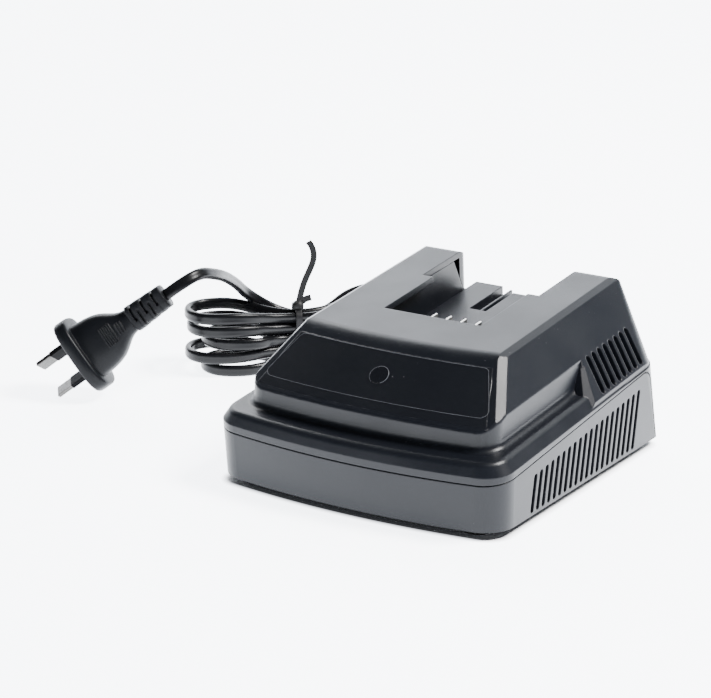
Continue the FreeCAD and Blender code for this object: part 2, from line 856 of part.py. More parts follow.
def front_panel():
    """Thin overlay let into the slanted face."""
    return face_skin(panel_thickness, 0).cut(lens_hole(lens_clearance, 8))


def indicator_lens():
    """Window with a light pipe that stands over the lamp."""
    disc = Part.makeCylinder(lens_diameter / 2, lens_depth + 4, Vector(0, lens_up_face, -lens_depth))
    disc = on_face(disc).cut(face_cutter(-0.2))
    lean = math.radians(face_angle)
    along = lens_up_face * math.cos(lean) + lens_depth * math.sin(lean)
    height = lens_up_face * math.sin(lean) - lens_depth * math.cos(lean)
    low = up(board_height + board_thickness + 3.2)
    place = Vector(0, back(face_front) + along, low)
    stem = Part.makeCylinder(pipe_diameter / 2, up(face_height) + height + 1.5 - low, place)
    stem = stem.cut(face_cutter(1.5))
    return joined([disc, stem])


# Battery dock

def dock_tray():
    """Tray under the opening: raised floor, gutters beside it and a latch channel."""
    outer = dock_half + dock_wall
    bottom = gutter_depth + tray_thickness
    top = wall + dock_clearance
    block = deck_box(-outer, outer, dock_front - dock_wall, dock_end_bottom + 0.5, top, bottom)
    beyond = body_depth + wall
    hollow = deck_box(-dock_half, dock_half, dock_front, beyond, -wall, gutter_depth)
    walls = block.cut(hollow).cut(side_profile(dock_end_line(0)).common(deck_layer(-wall, gutter_depth)))
    nose = deck_box(-lip_half, latch_right, dock_front, dock_floor_rear, dock_floor_depth, gutter_depth + 0.5)
    step = deck_box(latch_right, lip_half, dock_front, dock_floor_rear_right, dock_floor_depth,
                    gutter_depth + 0.5)
    sill = deck_box(-lip_half, lip_half, dock_front - 0.5, dock_notch, dock_floor_depth, gutter_depth + 0.5)
    tray = joined([walls, nose, step, sill])
    channel = deck_box(latch_left, latch_right, latch_front, beyond, dock_floor_depth - 1,
                       dock_floor_depth + latch_depth)
    middle = latch_left + 0.6 * (latch_right - latch_left)
    rib = deck_box(middle - latch_rib / 2, middle + latch_rib / 2, latch_front, dock_floor_rear - 1.0,
                   dock_floor_depth + 0.6, dock_floor_depth + latch_depth + 0.5)
    tray = joined([tray.cut(channel), rib.common(tray)])
    slots = [blade_plate(x, blade_thickness + 2 * dock_clearance, 0.3) for x in blade_places()]
    return tray.cut(slots)


def blade_places():
    """Distances of the terminal blades from the middle."""
    middle = (blade_count - 1) / 2
    return [(index - middle) * blade_pitch for index in range(blade_count)]


def blade_plate(x, thickness, grow):
    """One upright blade, from its tip down into the block."""
    bottom = gutter_depth + tray_thickness + blade_root
    return deck_box(x - thickness / 2, x + thickness / 2, blade_front - grow, blade_rear + grow,
                    blade_top_depth, bottom)


def contact_blades():
    """Upright blades with a cut front corner, seated in the block."""
    blades = []
    for x in blade_places():
        blade = blade_plate(x, blade_thickness, 0)
        tip = on_deck(half_space(Vector(x, deck_y(blade_front, blade_top_depth) + 3, -blade_top_depth),
                                 Vector(0, -1, 1)))
        blades.append(blade.cut(tip))
    return Part.Compound(blades)


def terminal_block():
    """Block under the tray that holds the blades."""
    high = gutter_depth + tray_thickness
    block = deck_box(-block_half, block_half, block_front, block_rear, high, high + block_height)
    ears = deck_box(-block_half - 5, block_half + 5, block_front + 6, block_rear - 6, high, high + 3)
    return joined([block, ears]).cut([blade_plate(x, blade_thickness, 0) for x in blade_places()])


# Electronics

def board_top():
    """Height of the board's upper side above the bottom edge."""
    return board_height + board_thickness


def circuit_board():
    """Flat board with four screw holes and a rounded outline."""
    board = upright_box(-board_half, board_half, board_front, board_rear, board_height, board_top())
    corners = [edge for edge in board.Edges if edge.BoundBox.ZLength > board_thickness / 2]
    board = board.makeFillet(3, corners)
    holes = [pillar(3.4, x, y, board_height - 1, board_top() + 1) for x, y in board_places()]
    return board.cut(holes)


def small_screw(x, distance, low, shank, head, length, head_height):
    """Screw with its head up: shank downwards from a seat, cross recess in the head."""
    rod = pillar(shank, x, distance, low - length, low)
    cap = pillar(head, x, distance, low, low + head_height)
    slot = upright_box(x - head / 3, x + head / 3, distance - 0.4, distance + 0.4,
                       low + head_height / 2, low + head_height + 1)
    cross = upright_box(x - 0.4, x + 0.4, distance - head / 3, distance + head / 3,
                        low + head_height / 2, low + head_height + 1)
    return joined([rod, cap]).cut([slot, cross])


def board_screws():
    """Four screws that hold the board on its posts."""
    screws = []
    for x, y in board_places():
        screws.append(small_screw(x, y, board_top(), 2.6, 5.0, board_thickness + 4.5, 1.6))
    return Part.Compound(screws)


def housing_screws():
    """Four long screws from below, with their heads in the screw tubes."""
    screws = []
    for x, y in screw_places():
        rod = pillar(2.6, x, y, screw_seat, screw_seat + screw_length)
        neck = pillar(screw_shank, x, y, screw_seat, tube_top - 1)
        cap = pillar(screw_head, x, y, screw_seat - 2.4, screw_seat)
        slots = [upright_box(x - 2, x + 2, y - 0.4, y + 0.4, screw_seat - 3, screw_seat - 1.2),
                 upright_box(x - 0.4, x + 0.4, y - 2, y + 2, screw_seat - 3, screw_seat - 1.2)]
        screws.append(joined([rod, neck, cap]).cut(slots))
    return Part.Compound(screws)


def rubber_feet():
    """Four round feet with a soft edge, pressed into recesses in the floor."""
    feet = []
    for x, y in foot_places():
        foot = pillar(foot_diameter, x, y, -foot_height, foot_recess)
        rim = [edge for edge in foot.Edges if edge.BoundBox.ZMax < 0.1]
        feet.append(foot.makeFillet(0.8, rim))
    return Part.Compound(feet)


input_can_diameter = 18.0
input_can_height = 27.0
output_can_diameter = 10.0
output_can_height = 18.0
output_can_margin = 7.0      # from the board's right edge
output_can_pitch = 14.0
output_can_inset = 18.0      # middle of the cans ahead of the board's rear
transformer_setback = 12.0   # behind the board's front
transformer_clearance = 0.5  # ahead of the battery tray
transformer_width = 32.0
transformer_height = 26.0
terminal_length = 9.0
terminal_inset = 8.0         # ahead of the board's rear
fuse_setback = 7.0           # middle of the fuse ahead of the mains terminal
fuse_left_inset = 5.0
fuse_right = -9.0
choke_foot_length = 16.0
choke_clearance = 6.0        # ahead of the middle of the fuse

transformer_front = board_front + transformer_setback
transformer_length = dock_front - dock_wall - transformer_clearance - transformer_front
terminal_front = board_rear - terminal_inset - terminal_length
fuse_place = terminal_front - fuse_setback
choke_front = fuse_place - choke_clearance - choke_foot_length
spare_width = 2 * board_half - input_can_diameter - transformer_width
transformer_x = board_half - transformer_width / 2 - spare_width * 3 / 11
input_can_x = input_can_diameter / 2 - board_half + spare_width * 3.5 / 11


def transformer_core():
    """Two-legged magnetic core with a middle leg, standing on the board."""
    x = transformer_x
    half = transformer_width / 2
    rear = transformer_front + transformer_length
    low = board_top() + 2.0
    high = low + transformer_height - 4
    block = upright_box(x - half, x + half, transformer_front + 6, rear - 6, low, high)
    for side in (-1, 1):
        middle = x + side * (half - 8)
        window = upright_box(middle - 3.5, middle + 3.5, transformer_front, rear, low + 5, high - 5)
        block = block.cut(window)
    return block


def transformer_winding():
    """Bobbin with its winding and pins, round the middle leg."""
    x = transformer_x
    rear = transformer_front + transformer_length
    low = board_top() + 2.0
    high = low + transformer_height - 4
    window_out = transformer_width / 2 - 4.7
    coil = upright_box(x - window_out, x + window_out, transformer_front + 1.5, rear - 1.5,
                       low + 5.3, high - 5.3)
    sides = [edge for edge in coil.Edges if edge.BoundBox.ZLength > 3]
    coil = coil.makeFillet(4, sides)
    leg = upright_box(x - 4.5, x + 4.5, transformer_front + 6, rear - 6, low, high)
    coil = coil.cut(leg)
    pieces = [coil]
    for front in (transformer_front + 0.5, rear - 5.5):
        pieces.append(upright_box(x - 13, x + 13, front, front + 5, low + 1.0, low + 6.5))
        for index in range(5):
            pin = x - 10 + index * 5
            pieces.append(upright_box(pin - 0.4, pin + 0.4, front + 2.1, front + 2.9, board_top(), low + 1.5))
    return joined(pieces)


def upright_capacitor(diameter, x, distance, height):
    """Can with a rounded top and a groove near its foot."""
    can = pillar(diameter, x, distance, board_top(), board_top() + height)
    top = [edge for edge in can.Edges if edge.BoundBox.ZMin > up(board_top() + height) - 0.01]
    can = can.makeFillet(0.8, top)
    ring = Part.makeTorus(diameter / 2 + 0.3, 0.8, Vector(x, back(distance), up(board_top() + 3)))
    return can.cut(ring)


def input_capacitor():
    """Large can beside the transformer."""
    place = (board_front + choke_front) / 2 - 1.0
    return upright_capacitor(input_can_diameter, input_can_x, place, input_can_height)


def output_capacitors():
    """Two smaller cans near the battery contacts."""
    cans = []
    right = board_half - output_can_margin - output_can_diameter / 2
    for x in (right - output_can_pitch, right):
        place = board_rear - output_can_inset
        cans.append(upright_capacitor(output_can_diameter, x, place, output_can_height))
    return Part.Compound(cans)


heat_sink_x = -6.0
heat_sink_setback = 1.5      # behind the dock's front
heat_sink_length = 22.0
heat_sink_room = 27.9079     # kept free above the heat sink, below the top plane's front
transistor_excess = 3.0      # the transistors' tabs stand higher than the heat sink
heat_sink_front = dock_front + heat_sink_setback
heat_sink_height = deck_front_height - board_height - board_thickness - foot_height - heat_sink_room


def heat_sink():
    """Finned aluminium extrusion standing on the board."""
    low = board_top()
    high = low + heat_sink_height
    rear = heat_sink_front + heat_sink_length
    plate = upright_box(heat_sink_x, heat_sink_x + 3, heat_sink_front, rear, low, high)
    fins = [plate]
    for index in range(5):
        front = heat_sink_front + index * (heat_sink_length - 1.2) / 4
        fins.append(upright_box(heat_sink_x + 2.5, heat_sink_x + 11, front, front + 1.2, low, high))
    return joined(fins)


def power_transistors():
    """Two flat power transistors against the heat sink, with their legs in the board."""
    parts = []
    for middle in (heat_sink_front + 5.5, heat_sink_front + 16.5):
        stand = heat_sink_height + transistor_excess
        low = board_top() + 0.25 * stand
        seam = low + 0.45 * stand
        high = board_top() + stand
        right = heat_sink_x
        case = upright_box(right - 4.4, right, middle - 5, middle + 5, low, seam)
        tab = upright_box(right - 1.3, right, middle - 5, middle + 5, seam, high)
        centre = up((seam + high) / 2)
        hole = Part.makeCylinder(0.09 * stand, 10, Vector(right - 5, back(middle), centre), Vector(1, 0, 0))
        legs = [upright_box(right - 2.8, right - 2.1, middle + step - 0.4, middle + step + 0.4,
                            board_top(), low + 0.5) for step in (-2.5, 0, 2.5)]
        parts.append(joined([case, tab] + legs).cut(hole))
    return Part.Compound(parts)


def mains_choke():
    """Wound ring core standing on edge in a foot."""
    rear = choke_front + choke_foot_length
    centre = Vector(-22, back((choke_front + rear) / 2), up(board_top() + 11.5))
    ring = Part.makeTorus(7.5, 3.4, centre, Vector(1, 0, 0))
    foot = upright_box(-27, -17, choke_front, rear, board_top(), board_top() + 2.5)
    return joined([ring, foot])


def fuse():
    """Glass tube fuse between two end caps in clips."""
    y = fuse_place
    left = fuse_left_inset - board_half
    axis = Vector(1, 0, 0)
    centre = board_top() + 5.0
    glass = Part.makeCylinder(2.4, fuse_right - left - 2, Vector(left + 1, back(y), up(centre)), axis)
    caps = [Part.makeCylinder(2.8, 5, Vector(x, back(y), up(centre)), axis) for x in (left, fuse_right - 5)]
    clips = [upright_box(x, x + 3, y - 2, y + 2, board_top(), centre) for x in (left + 1, fuse_right - 4)]
    return joined([glass] + caps + clips)


def indicator_lamp():
    """Small lamp on the board under the light pipe."""
    lean = math.radians(face_angle)
    along = face_front + lens_up_face * math.cos(lean) + lens_depth * math.sin(lean)
    body = pillar(5.0, 0, along, board_top() + 0.0, board_top() + 2.8)
    rim = pillar(5.8, 0, along, board_top(), board_top() + 1.0)
    return joined([body, rim])


# Cord paths

def unit(vector):
    """Copy of a vector with length one."""
    copy = Vector(vector)
    copy.normalize()
    return copy


def rounded_path(points, label):
    """Straight runs joined by tangent arcs through a row of corner points."""
    edges = []
    start = points[0]
    for index in range(1, len(points) - 1):
        here = points[index]
        before = points[index - 1] - here
        after = points[index + 1] - here
        turn = math.pi - before.getAngle(after)
        radius = 0.45 * min(before.Length, after.Length) / math.tan(turn / 2)
        reach = radius * math.tan(turn / 2)
        first = here + unit(before) * reach
        last = here + unit(after) * reach
        inward = unit(unit(before) + unit(after))
        middle = here + inward * (radius / math.cos(turn / 2) - radius)
        edges.append(Part.makeLine(start, first))
        edges.append(Part.Arc(first, middle, last).toShape())
        print(label, "corner", index, "radius", round(radius, 1), "turn", round(math.degrees(turn)))
        start = last
    edges.append(Part.makeLine(start, points[-1]))
    return Part.Wire(edges)


def tube(path, diameter, label):
    """Round tube along a path; prints how its volume compares with section times length."""
    start = path.Edges[0].valueAt(path.Edges[0].FirstParameter)
    heading = path.Edges[0].tangentAt(path.Edges[0].FirstParameter)
    circle = Part.Wire(Part.makeCircle(diameter / 2, start, heading))
    solid = path.makePipeShell([circle], True, False)
    share = solid.Volume / (math.pi * diameter ** 2 / 4 * path.Length)
    print(label, "length", round(path.Length, 1), "volume share", round(share, 3))
    return solid


def gland_point(distance):
    """Point on the gland's axis, this far behind the rear wall."""
    wall_y = back(body_depth) - rear_draft * (gland_height - foot_height) / (deck_height - band_depth)
    return Vector(gland_x, wall_y + distance, gland_height)


def cord_gland():
    """Strain relief: inner flange, neck in the wall's hole, outer collar and ribbed sleeve."""
    axis = Vector(0, 1, 0)
    inner = Part.makeCylinder(gland_collar / 2, 2.5, gland_point(-wall - 2.8), axis)
    neck = Part.makeCylinder(gland_hole / 2 - 0.15, wall + 1.4, gland_point(-wall - 0.9), axis)
    collar = Part.makeCylinder(gland_collar / 2, 2.0, gland_point(0.35), axis)
    sleeve = Part.makeCone(gland_hole / 2, gland_tip / 2, gland_sleeve, gland_point(1.5), axis)
    rings = []
    for index in range(4):
        place = 5.0 + index * 4.0
        radius = gland_hole / 2 - (gland_hole - gland_tip) / 2 * place / gland_sleeve
        ring = Part.makeCylinder(radius + 1, 1.2, gland_point(1.5 + place), axis)
        rings.append(ring.cut(Part.makeCylinder(radius - 0.5, 1.2, gland_point(1.5 + place), axis)))
    return joined([inner, neck, collar, sleeve]).cut(rings)


def mains_terminal():
    """Terminal on the board where the mains wires end."""
    rear = terminal_front + terminal_length
    middle = terminal_front + 4.0
    block = upright_box(-27, -13, terminal_front, rear, board_top(), board_top() + 9)
    screws = [pillar(4.0, x, middle, board_top() + 6, board_top() + 10) for x in (-23, -17)]
    return block.cut(screws)


def mains_leads():
    """Two insulated wires from the gland's inner face to the terminal on the board."""
    wires = []
    for side in (-1, 1):
        start = gland_point(-wall - 2.8) + Vector(side * 1.6, 0, 0)
        end = Vector(-20 + side * 3, back(terminal_front + terminal_length), up(board_top() + 5))
        points = [start, start + Vector(0, -9, 0), end + Vector(0, 8.5, 0), end]
        wires.append(tube(rounded_path(points, "mains wire"), 2.0, "mains wire"))
    return Part.Compound(wires)


def output_leads():
    """Four insulated wires from the terminal block down to the board."""
    wires = []
    depth = gutter_depth + tray_thickness + block_height
    tilt = math.radians(deck_tilt)
    inward = Vector(0, math.sin(tilt), -math.cos(tilt))
    for x in blade_places():
        along = deck_y(block_rear - 1.8, depth)
        start = Vector(x, along * math.cos(tilt) + depth * math.sin(tilt),
                       deck_height + along * math.sin(tilt) - depth * math.cos(tilt))
        end = Vector(x + 2.0, start.y + 3.0, up(board_top()))
        points = [start, start + inward * 7, end + Vector(0, 0, 7), end]
        wires.append(tube(rounded_path(points, "output wire"), 2.2, "output wire"))
    return Part.Compound(wires)


# Hank

def hank_point(along, across, height):
    """Point given along and across the hank and above the table."""
    turn = math.radians(hank_turn)
    x = hank_x + along * math.cos(turn) - across * math.sin(turn)
    y = hank_y + along * math.sin(turn) + across * math.cos(turn)
    return Vector(x, y, height)


def hank_heading(along, across, rise):
    """Direction given in the hank's own frame."""
    return unit(hank_point(along, across, rise) - hank_point(0, 0, 0))


def hank_row():
    """Points with headings that the loops pass, from the plug's end to the housing's end."""
    row = [(hank_point(-20, 12.6, 28.6), hank_heading(0.40, 0.71, -0.58)),
           (hank_point(0, 9.6, 19.5), hank_heading(1, 0.03, 0)),
           (hank_point(17, 12.6, 22.0), hank_heading(1, 0.30, 0.33))]
    level = right_low + right_pitch * loop_count
    near = 2.0 - last_radius
    tip = last_reach - last_radius
    row.append((hank_point(tip, 2.0 + last_radius, level), hank_heading(1, 0, 0)))
    row.append((hank_point(last_reach, 2.0, level), hank_heading(0, -1, 0)))
    row.append((hank_point(tip, near, level), hank_heading(-1, 0, 0)))
    row.append((hank_point(run_straight, near, level), hank_heading(-1, 0, 0)))
    for loop in range(loop_count - 1, -1, -1):
        level = fold_low + fold_pitch * loop
        waist = waist_low + waist_pitch * loop
        tip = fold_radius - left_reaches[loop]
        row.append((hank_point(0, -waist_half, waist), hank_heading(-1, 0, 0)))
        row.append((hank_point(tip, -fold_radius, level), hank_heading(-1, 0, 0)))
        row.append((hank_point(-left_reaches[loop], 0, level), hank_heading(0, 1, 0)))
        row.append((hank_point(tip, fold_radius, level), hank_heading(1, 0, 0)))
        row.append((hank_point(0, waist_half, waist), hank_heading(1, 0, 0)))
        if loop > 0:
            reach = right_reaches[loop - 1]
            level = right_low + right_pitch * loop
            tip = reach - fold_radius
            row.append((hank_point(tip, fold_radius, level), hank_heading(1, 0, 0)))
            row.append((hank_point(reach, 0, level), hank_heading(0, -1, 0)))
            row.append((hank_point(tip, -fold_radius, level), hank_heading(-1, 0, 0)))
            if tip > run_straight:
                row.append((hank_point(run_straight, -fold_radius, level), hank_heading(-1, 0, 0)))
    row.append((hank_point(36, 11.5, cord_height), hank_heading(1, 0.12, 0)))
    return row


def hank_start():
    """Point and heading where the loops begin, one diameter ahead of the first turn."""
    point, heading = hank_row()[0]
    return point - heading * cord_diameter * 1.05, heading


def hank_end():
    """Point and heading where the loops end, one diameter behind the last turn."""
    point, heading = hank_row()[-1]
    return point + heading * cord_diameter * 1.3, heading


def biarc(first, leaving, second, arriving):
    """Joint and heading of the two arcs that link two points with given headings."""
    span = second - first
    total = leaving + arriving
    bend = 2 * (1 - leaving.dot(arriving))
    if abs(bend) < 1e-6:
        reach = span.dot(span) / (4 * span.dot(arriving))
    else:
        along = span.dot(total)
        reach = (-along + math.sqrt(along * along + bend * span.dot(span))) / bend
    near = first + leaving * reach
    far = second - arriving * reach
    return (near + far) * 0.5, unit(far - near)


def arc_edge(point, heading, end):
    """Arc that leaves a point along a heading and passes an end, or a line where it is straight."""
    span = end - point
    share = span.dot(heading) / span.Length
    if share > 0.9999999:
        return Part.makeLine(point, end), [point]
    inward = unit(span - heading * span.dot(heading))
    radius = span.dot(span) / (2 * span.dot(inward))
    angle = 2 * math.acos(max(-1.0, min(1.0, share)))

    def at(part):
        swing = angle * part
        return point + heading * (radius * math.sin(swing)) + inward * (radius * (1 - math.cos(swing)))
    return Part.Arc(point, at(0.5), end).toShape(), [at(step / 12) for step in range(12)]


def hank_path():
    """Path of the loops as one wire, with points along it for the check of gaps."""
    row = hank_row()
    edges = [Part.makeLine(hank_start()[0], row[0][0])]
    points = [hank_start()[0]]
    for (first, leaving), (second, arriving) in zip(row, row[1:]):
        joint, heading = biarc(first, leaving, second, arriving)
        for start, direction, end in ((first, leaving, joint), (joint, heading, second)):
            if (end - start).Length > 0.001:
                edge, along = arc_edge(start, direction, end)
                edges.append(edge)
                points += along
    edges.append(Part.makeLine(row[-1][0], hank_end()[0]))
    points += [row[-1][0], hank_end()[0]]
    return Part.Wire(edges), points


def least_gap(points):
    """Smallest distance between turns that aren't neighbours, less the cord's diameter."""
    lengths = [0.0]
    for first, second in zip(points, points[1:]):
        lengths.append(lengths[-1] + (second - first).Length)
    least = 1000.0
    for index, here in enumerate(points):
        for other in range(index + 8, len(points)):
            if lengths[other] - lengths[index] > 25:
                least = min(least, (points[other] - here).Length)
    return least - cord_diameter


def cord_hank():
    """Loops of the hank as one unbroken tube."""
    path, points = hank_path()
    print("hank least gap", round(least_gap(points), 2))
    return tube(path, cord_diameter, "hank")


def lead_points():
    """Corner points of the arch between the plug and the hank."""
    end, heading = hank_start()
    axis = unit(plug_axis)
    return [plug_place, plug_place + axis * 9, Vector(-131.0, 20.3, 54.4), Vector(-131.8, 31.8, 51.0),
            Vector(-134.4, 43.6, 46.6), end - heading * 14, end]


def cord_lead():
    """Arch between the plug and the hank."""
    return tube(rounded_path(lead_points(), "lead"), cord_diameter, "lead")


def exit_points():
    """Corner points of the stretch between the hank and the gland."""
    end, heading = hank_end()
    tip = gland_point(1.5 + gland_sleeve)
    low = cord_height
    return [end, end + heading * 17, Vector(tip.x - 29, tip.y + 41, low), Vector(tip.x - 13, tip.y + 37, low),
            Vector(tip.x - 3, tip.y + 25, 8.0), tip + Vector(0, 13, 0), tip]


def cord_exit():
    """Stretch on the table between the hank and the gland."""
    return tube(rounded_path(exit_points(), "exit"), cord_diameter, "exit")


def tie_strip(points, width, label):
    """Flat strip in the hank's upright plane, one thickness across it."""
    upper = []
    lower = []
    for index, here in enumerate(points):
        before = points[max(index - 1, 0)]
        after = points[min(index + 1, len(points) - 1)]
        run = (after[0] - before[0], after[1] - before[1])
        size = math.hypot(run[0], run[1])
        side = (-run[1] / size * width / 2, run[0] / size * width / 2)
        upper.append(Vector(here[0] + side[0], 0, here[1] + side[1]))
        lower.append(Vector(here[0] - side[0], 0, here[1] - side[1]))
    edges = []
    for line in (upper, lower[::-1]):
        curve = Part.BSplineCurve()
        curve.interpolate(line)
        edges.append(curve.toShape())
    edges.append(Part.makeLine(upper[-1], lower[-1]))
    edges.append(Part.makeLine(lower[0], upper[0]))
    face = Part.Face(Part.Wire(Part.sortEdges(edges)[0]))
    strip = face.extrude(Vector(0, tie_thickness, 0))
    return strip


def on_hank(shape, across):
    """Moves a shape drawn along X and Z to the hank, at a distance across it."""
    moved = shape.copy()
    frame = FreeCAD.Placement(hank_point(0, across, 0), FreeCAD.Rotation(Vector(0, 0, 1), hank_turn))
    moved.Placement = frame.multiply(shape.Placement)
    return moved


def cord_tie():
    """Twist tie: band round the waist, knot on top and two tails."""
    half = tie_width / 2
    near = -waist_half - cord_diameter / 2 - 0.35
    far = 9.6 + cord_diameter / 2 + 0.5
    high = waist_low + waist_pitch * (loop_count - 1) + cord_diameter / 2 + 0.45
    low = 0.1 + tie_thickness
    outer = Part.makeBox(tie_width, far - near + 2 * tie_thickness, high - low + 2 * tie_thickness,
                         Vector(-half, near - tie_thickness, low - tie_thickness))
    long_edges = [edge for edge in outer.Edges if edge.BoundBox.XLength > tie_width - 0.1]
    outer = outer.makeFillet(3.0, long_edges)
    inner = Part.makeBox(tie_width + 2, far - near, high - low, Vector(-half - 1, near, low))
    long_edges = [edge for edge in inner.Edges if edge.BoundBox.XLength > tie_width]
    band = outer.cut(inner.makeFillet(2.3, long_edges))
    knot = Part.makeSphere(2.6, Vector(0, 0, high + 2.2))
    knot = knot.common(Part.makeBox(8, 8, 8, Vector(-4, -4, high + tie_thickness / 2)))
    base = high + 3.6
    long_tail = [(0.2, base - 1), (1.2, base + 4), (3.0, base + 10), (5.6, base + 16), (7.0, base + 21),
                 (6.4, base + 25), (4.6, base + 28)]
    short_tail = [(0.5, base - 1), (3.2, base + 1.5), (5.8, base + 2.2)]
    pieces = [band, knot]
    for tail in (long_tail, short_tail):
        strip = tie_strip(tail, tie_width, "tail")
        strip.translate(Vector(0, -tie_thickness / 2, 0))
        pieces.append(strip)
    return on_hank(joined(pieces), 0)


# Plug, drawn along +Z from the face that meets the socket towards the cord

def in_plug(shape):
    """Moves a shape drawn in the plug's own frame to its place."""
    axis = unit(plug_axis)
    long_way = unit(plug_long - axis * plug_long.dot(axis))
    short_way = axis.cross(long_way)
    origin = plug_place - axis * (flange_thickness + plug_body_length + plug_sleeve_length)
    matrix = FreeCAD.Matrix(long_way.x, short_way.x, axis.x, origin.x,
                            long_way.y, short_way.y, axis.y, origin.y,
                            long_way.z, short_way.z, axis.z, origin.z, 0, 0, 0, 1)
    moved = shape.copy()
    moved.Placement = FreeCAD.Placement(matrix).multiply(shape.Placement)
    return moved


def plug_section(length, width, radius, height):
    """Rounded rectangle across the plug's axis."""
    box = Part.makeBox(length, width, 1, Vector(-length / 2, -width / 2, height))
    upright = [edge for edge in box.Edges if edge.BoundBox.ZLength > 0.9]
    box = box.makeFillet(radius, upright)
    flat = [face for face in box.Faces if face.BoundBox.ZMax < height + 0.01]
    return flat[0].OuterWire


def plug_body():
    """Moulded plug: flange, tapered grip and finger ridges on both broad sides."""
    flange = loft(plug_section(flange_length, flange_width, 7.0, 0),
                  plug_section(flange_length - 1.0, flange_width - 1.0, 6.5, flange_thickness))
    face_edges = [edge for edge in flange.Edges if edge.BoundBox.ZMax < 0.01]
    flange = flange.makeFillet(1.0, face_edges)
    top = flange_thickness + plug_body_length
    grip = loft(plug_section(flange_length - 8.0, flange_width - 5.0, 5.5, flange_thickness - 0.5),
                plug_section(plug_waist + 3.0, plug_waist, 4.0, top))
    ridges = []
    for index in range(5):
        height = flange_thickness + 4.0 + index * 2.8
        share = (height - flange_thickness) / plug_body_length
        reach = (flange_width - 5.0) * (1 - share) / 2 + plug_waist * share / 2
        span = (flange_length - 8.0) * (1 - share) + (plug_waist + 3.0) * share - 9.0
        for side in (-1, 1):
            start = Vector(-span / 2, side * (reach + 0.1), height)
            bar = Part.makeCylinder(0.9, span, start, Vector(1, 0, 0))
            ridges.append(bar)
    return in_plug(joined([flange, grip] + ridges))


def plug_relief():
    """Flexible sleeve of staggered segments between the grip and the cord."""
    base = flange_thickness + plug_body_length
    count = 6
    step = plug_sleeve_length / count
    core = Part.makeCone(3.6, 2.9, plug_sleeve_length, Vector(0, 0, base))
    rings = [core]
    for index in range(count):
        radius = 5.2 - 0.3 * index
        low = base + index * step
        ring = Part.makeCylinder(radius, step * 0.62, Vector(0, 0, low))
        rings.append(ring)
    return in_plug(joined(rings))


def pin_blade(side, low, high, width, thickness):
    """One leaning flat pin between two distances from the plug's face, towards the socket."""
    blade = Part.makeBox(thickness, width, high - low, Vector(-thickness / 2, -width / 2, -high))
    blade.rotate(Vector(0, 0, 0), Vector(0, 0, 1), side * pin_angle)
    blade.translate(Vector(side * pin_spacing / 2, 0, 0))
    return blade


def plug_pins():
    """Two flat pins that lean towards each other, with tapered tips."""
    pins = []
    for side in (-1, 1):
        pin = pin_blade(side, -3.0, pin_length, pin_width, pin_thickness)
        tips = [edge for edge in pin.Edges if edge.BoundBox.ZMax < -pin_length + 0.01]
        pins.append(in_plug(pin.makeChamfer(0.6, tips)))
    return Part.Compound(pins)


def pin_sleeves():
    """Insulating sleeves on the pins, next to the plug's face."""
    sleeves = []
    for side in (-1, 1):
        sleeve = pin_blade(side, 0, pin_cover, pin_width + 0.5, pin_thickness + 0.5)
        core = pin_blade(side, -1, pin_cover + 1, pin_width, pin_thickness)
        sleeves.append(in_plug(sleeve.cut(core)))
    return Part.Compound(sleeves)


def keep(name, shape):
    """Remembers a finished piece under its node name."""
    nodes[name] = shape
    box = shape.BoundBox
    print(name, shape.isValid(), len(shape.Solids), round(shape.Volume), round(box.ZMin, 2))


outer_shape = outer_form()
inner_shape = inner_form()
keep("lower_shell", lower_shell(outer_shape, inner_shape))
keep("upper_shell", upper_shell(outer_shape, inner_shape))
keep("front_panel", front_panel())
keep("indicator_lens", indicator_lens())
keep("indicator_lamp", indicator_lamp())
keep("dock_tray", dock_tray())
keep("terminal_block", terminal_block())
keep("contact_blades", contact_blades())
keep("circuit_board", circuit_board())
keep("board_screws", board_screws())
keep("transformer_core", transformer_core())
keep("transformer_winding", transformer_winding())
keep("input_capacitor", input_capacitor())
keep("output_capacitors", output_capacitors())
keep("heat_sink", heat_sink())
keep("power_transistors", power_transistors())
keep("mains_choke", mains_choke())
keep("fuse", fuse())
keep("housing_screws", housing_screws())
keep("rubber_feet", rubber_feet())
keep("cord_gland", cord_gland())
keep("mains_terminal", mains_terminal())
keep("mains_leads", mains_leads())
keep("output_leads", output_leads())
plug_solid = plug_body()
pin_solids = plug_pins()
keep("plug_body", plug_solid.cut(pin_solids))
keep("plug_relief", plug_relief())
keep("plug_pins", pin_solids)
keep("pin_sleeves", pin_sleeves())
keep("cord_lead", cord_lead())
keep("cord_hank", cord_hank())
keep("cord_exit", cord_exit())
keep("cord_tie", cord_tie())

os.makedirs("parts", exist_ok=True)
for name, shape in nodes.items():
    shape.exportStep("parts/" + name + ".step")
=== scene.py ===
import math

import bpy
from mathutils import Matrix, Vector


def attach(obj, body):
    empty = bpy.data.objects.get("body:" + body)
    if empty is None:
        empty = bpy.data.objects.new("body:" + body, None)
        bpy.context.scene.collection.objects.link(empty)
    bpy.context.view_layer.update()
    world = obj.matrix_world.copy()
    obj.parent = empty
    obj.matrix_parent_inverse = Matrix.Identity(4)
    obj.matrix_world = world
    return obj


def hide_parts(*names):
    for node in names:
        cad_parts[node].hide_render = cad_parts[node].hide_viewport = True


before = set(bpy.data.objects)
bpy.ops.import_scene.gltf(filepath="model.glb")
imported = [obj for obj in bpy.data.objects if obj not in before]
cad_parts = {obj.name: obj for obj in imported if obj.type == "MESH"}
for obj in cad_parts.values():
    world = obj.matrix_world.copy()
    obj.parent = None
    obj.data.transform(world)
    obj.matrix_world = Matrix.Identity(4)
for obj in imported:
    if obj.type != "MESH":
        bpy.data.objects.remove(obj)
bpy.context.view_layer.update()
MM = 0.001
FRONT_Y = -71.5             # foremost point of the housing, in millimetres
FOOT_HEIGHT = 3.0           # from the table to the housing's bottom edge


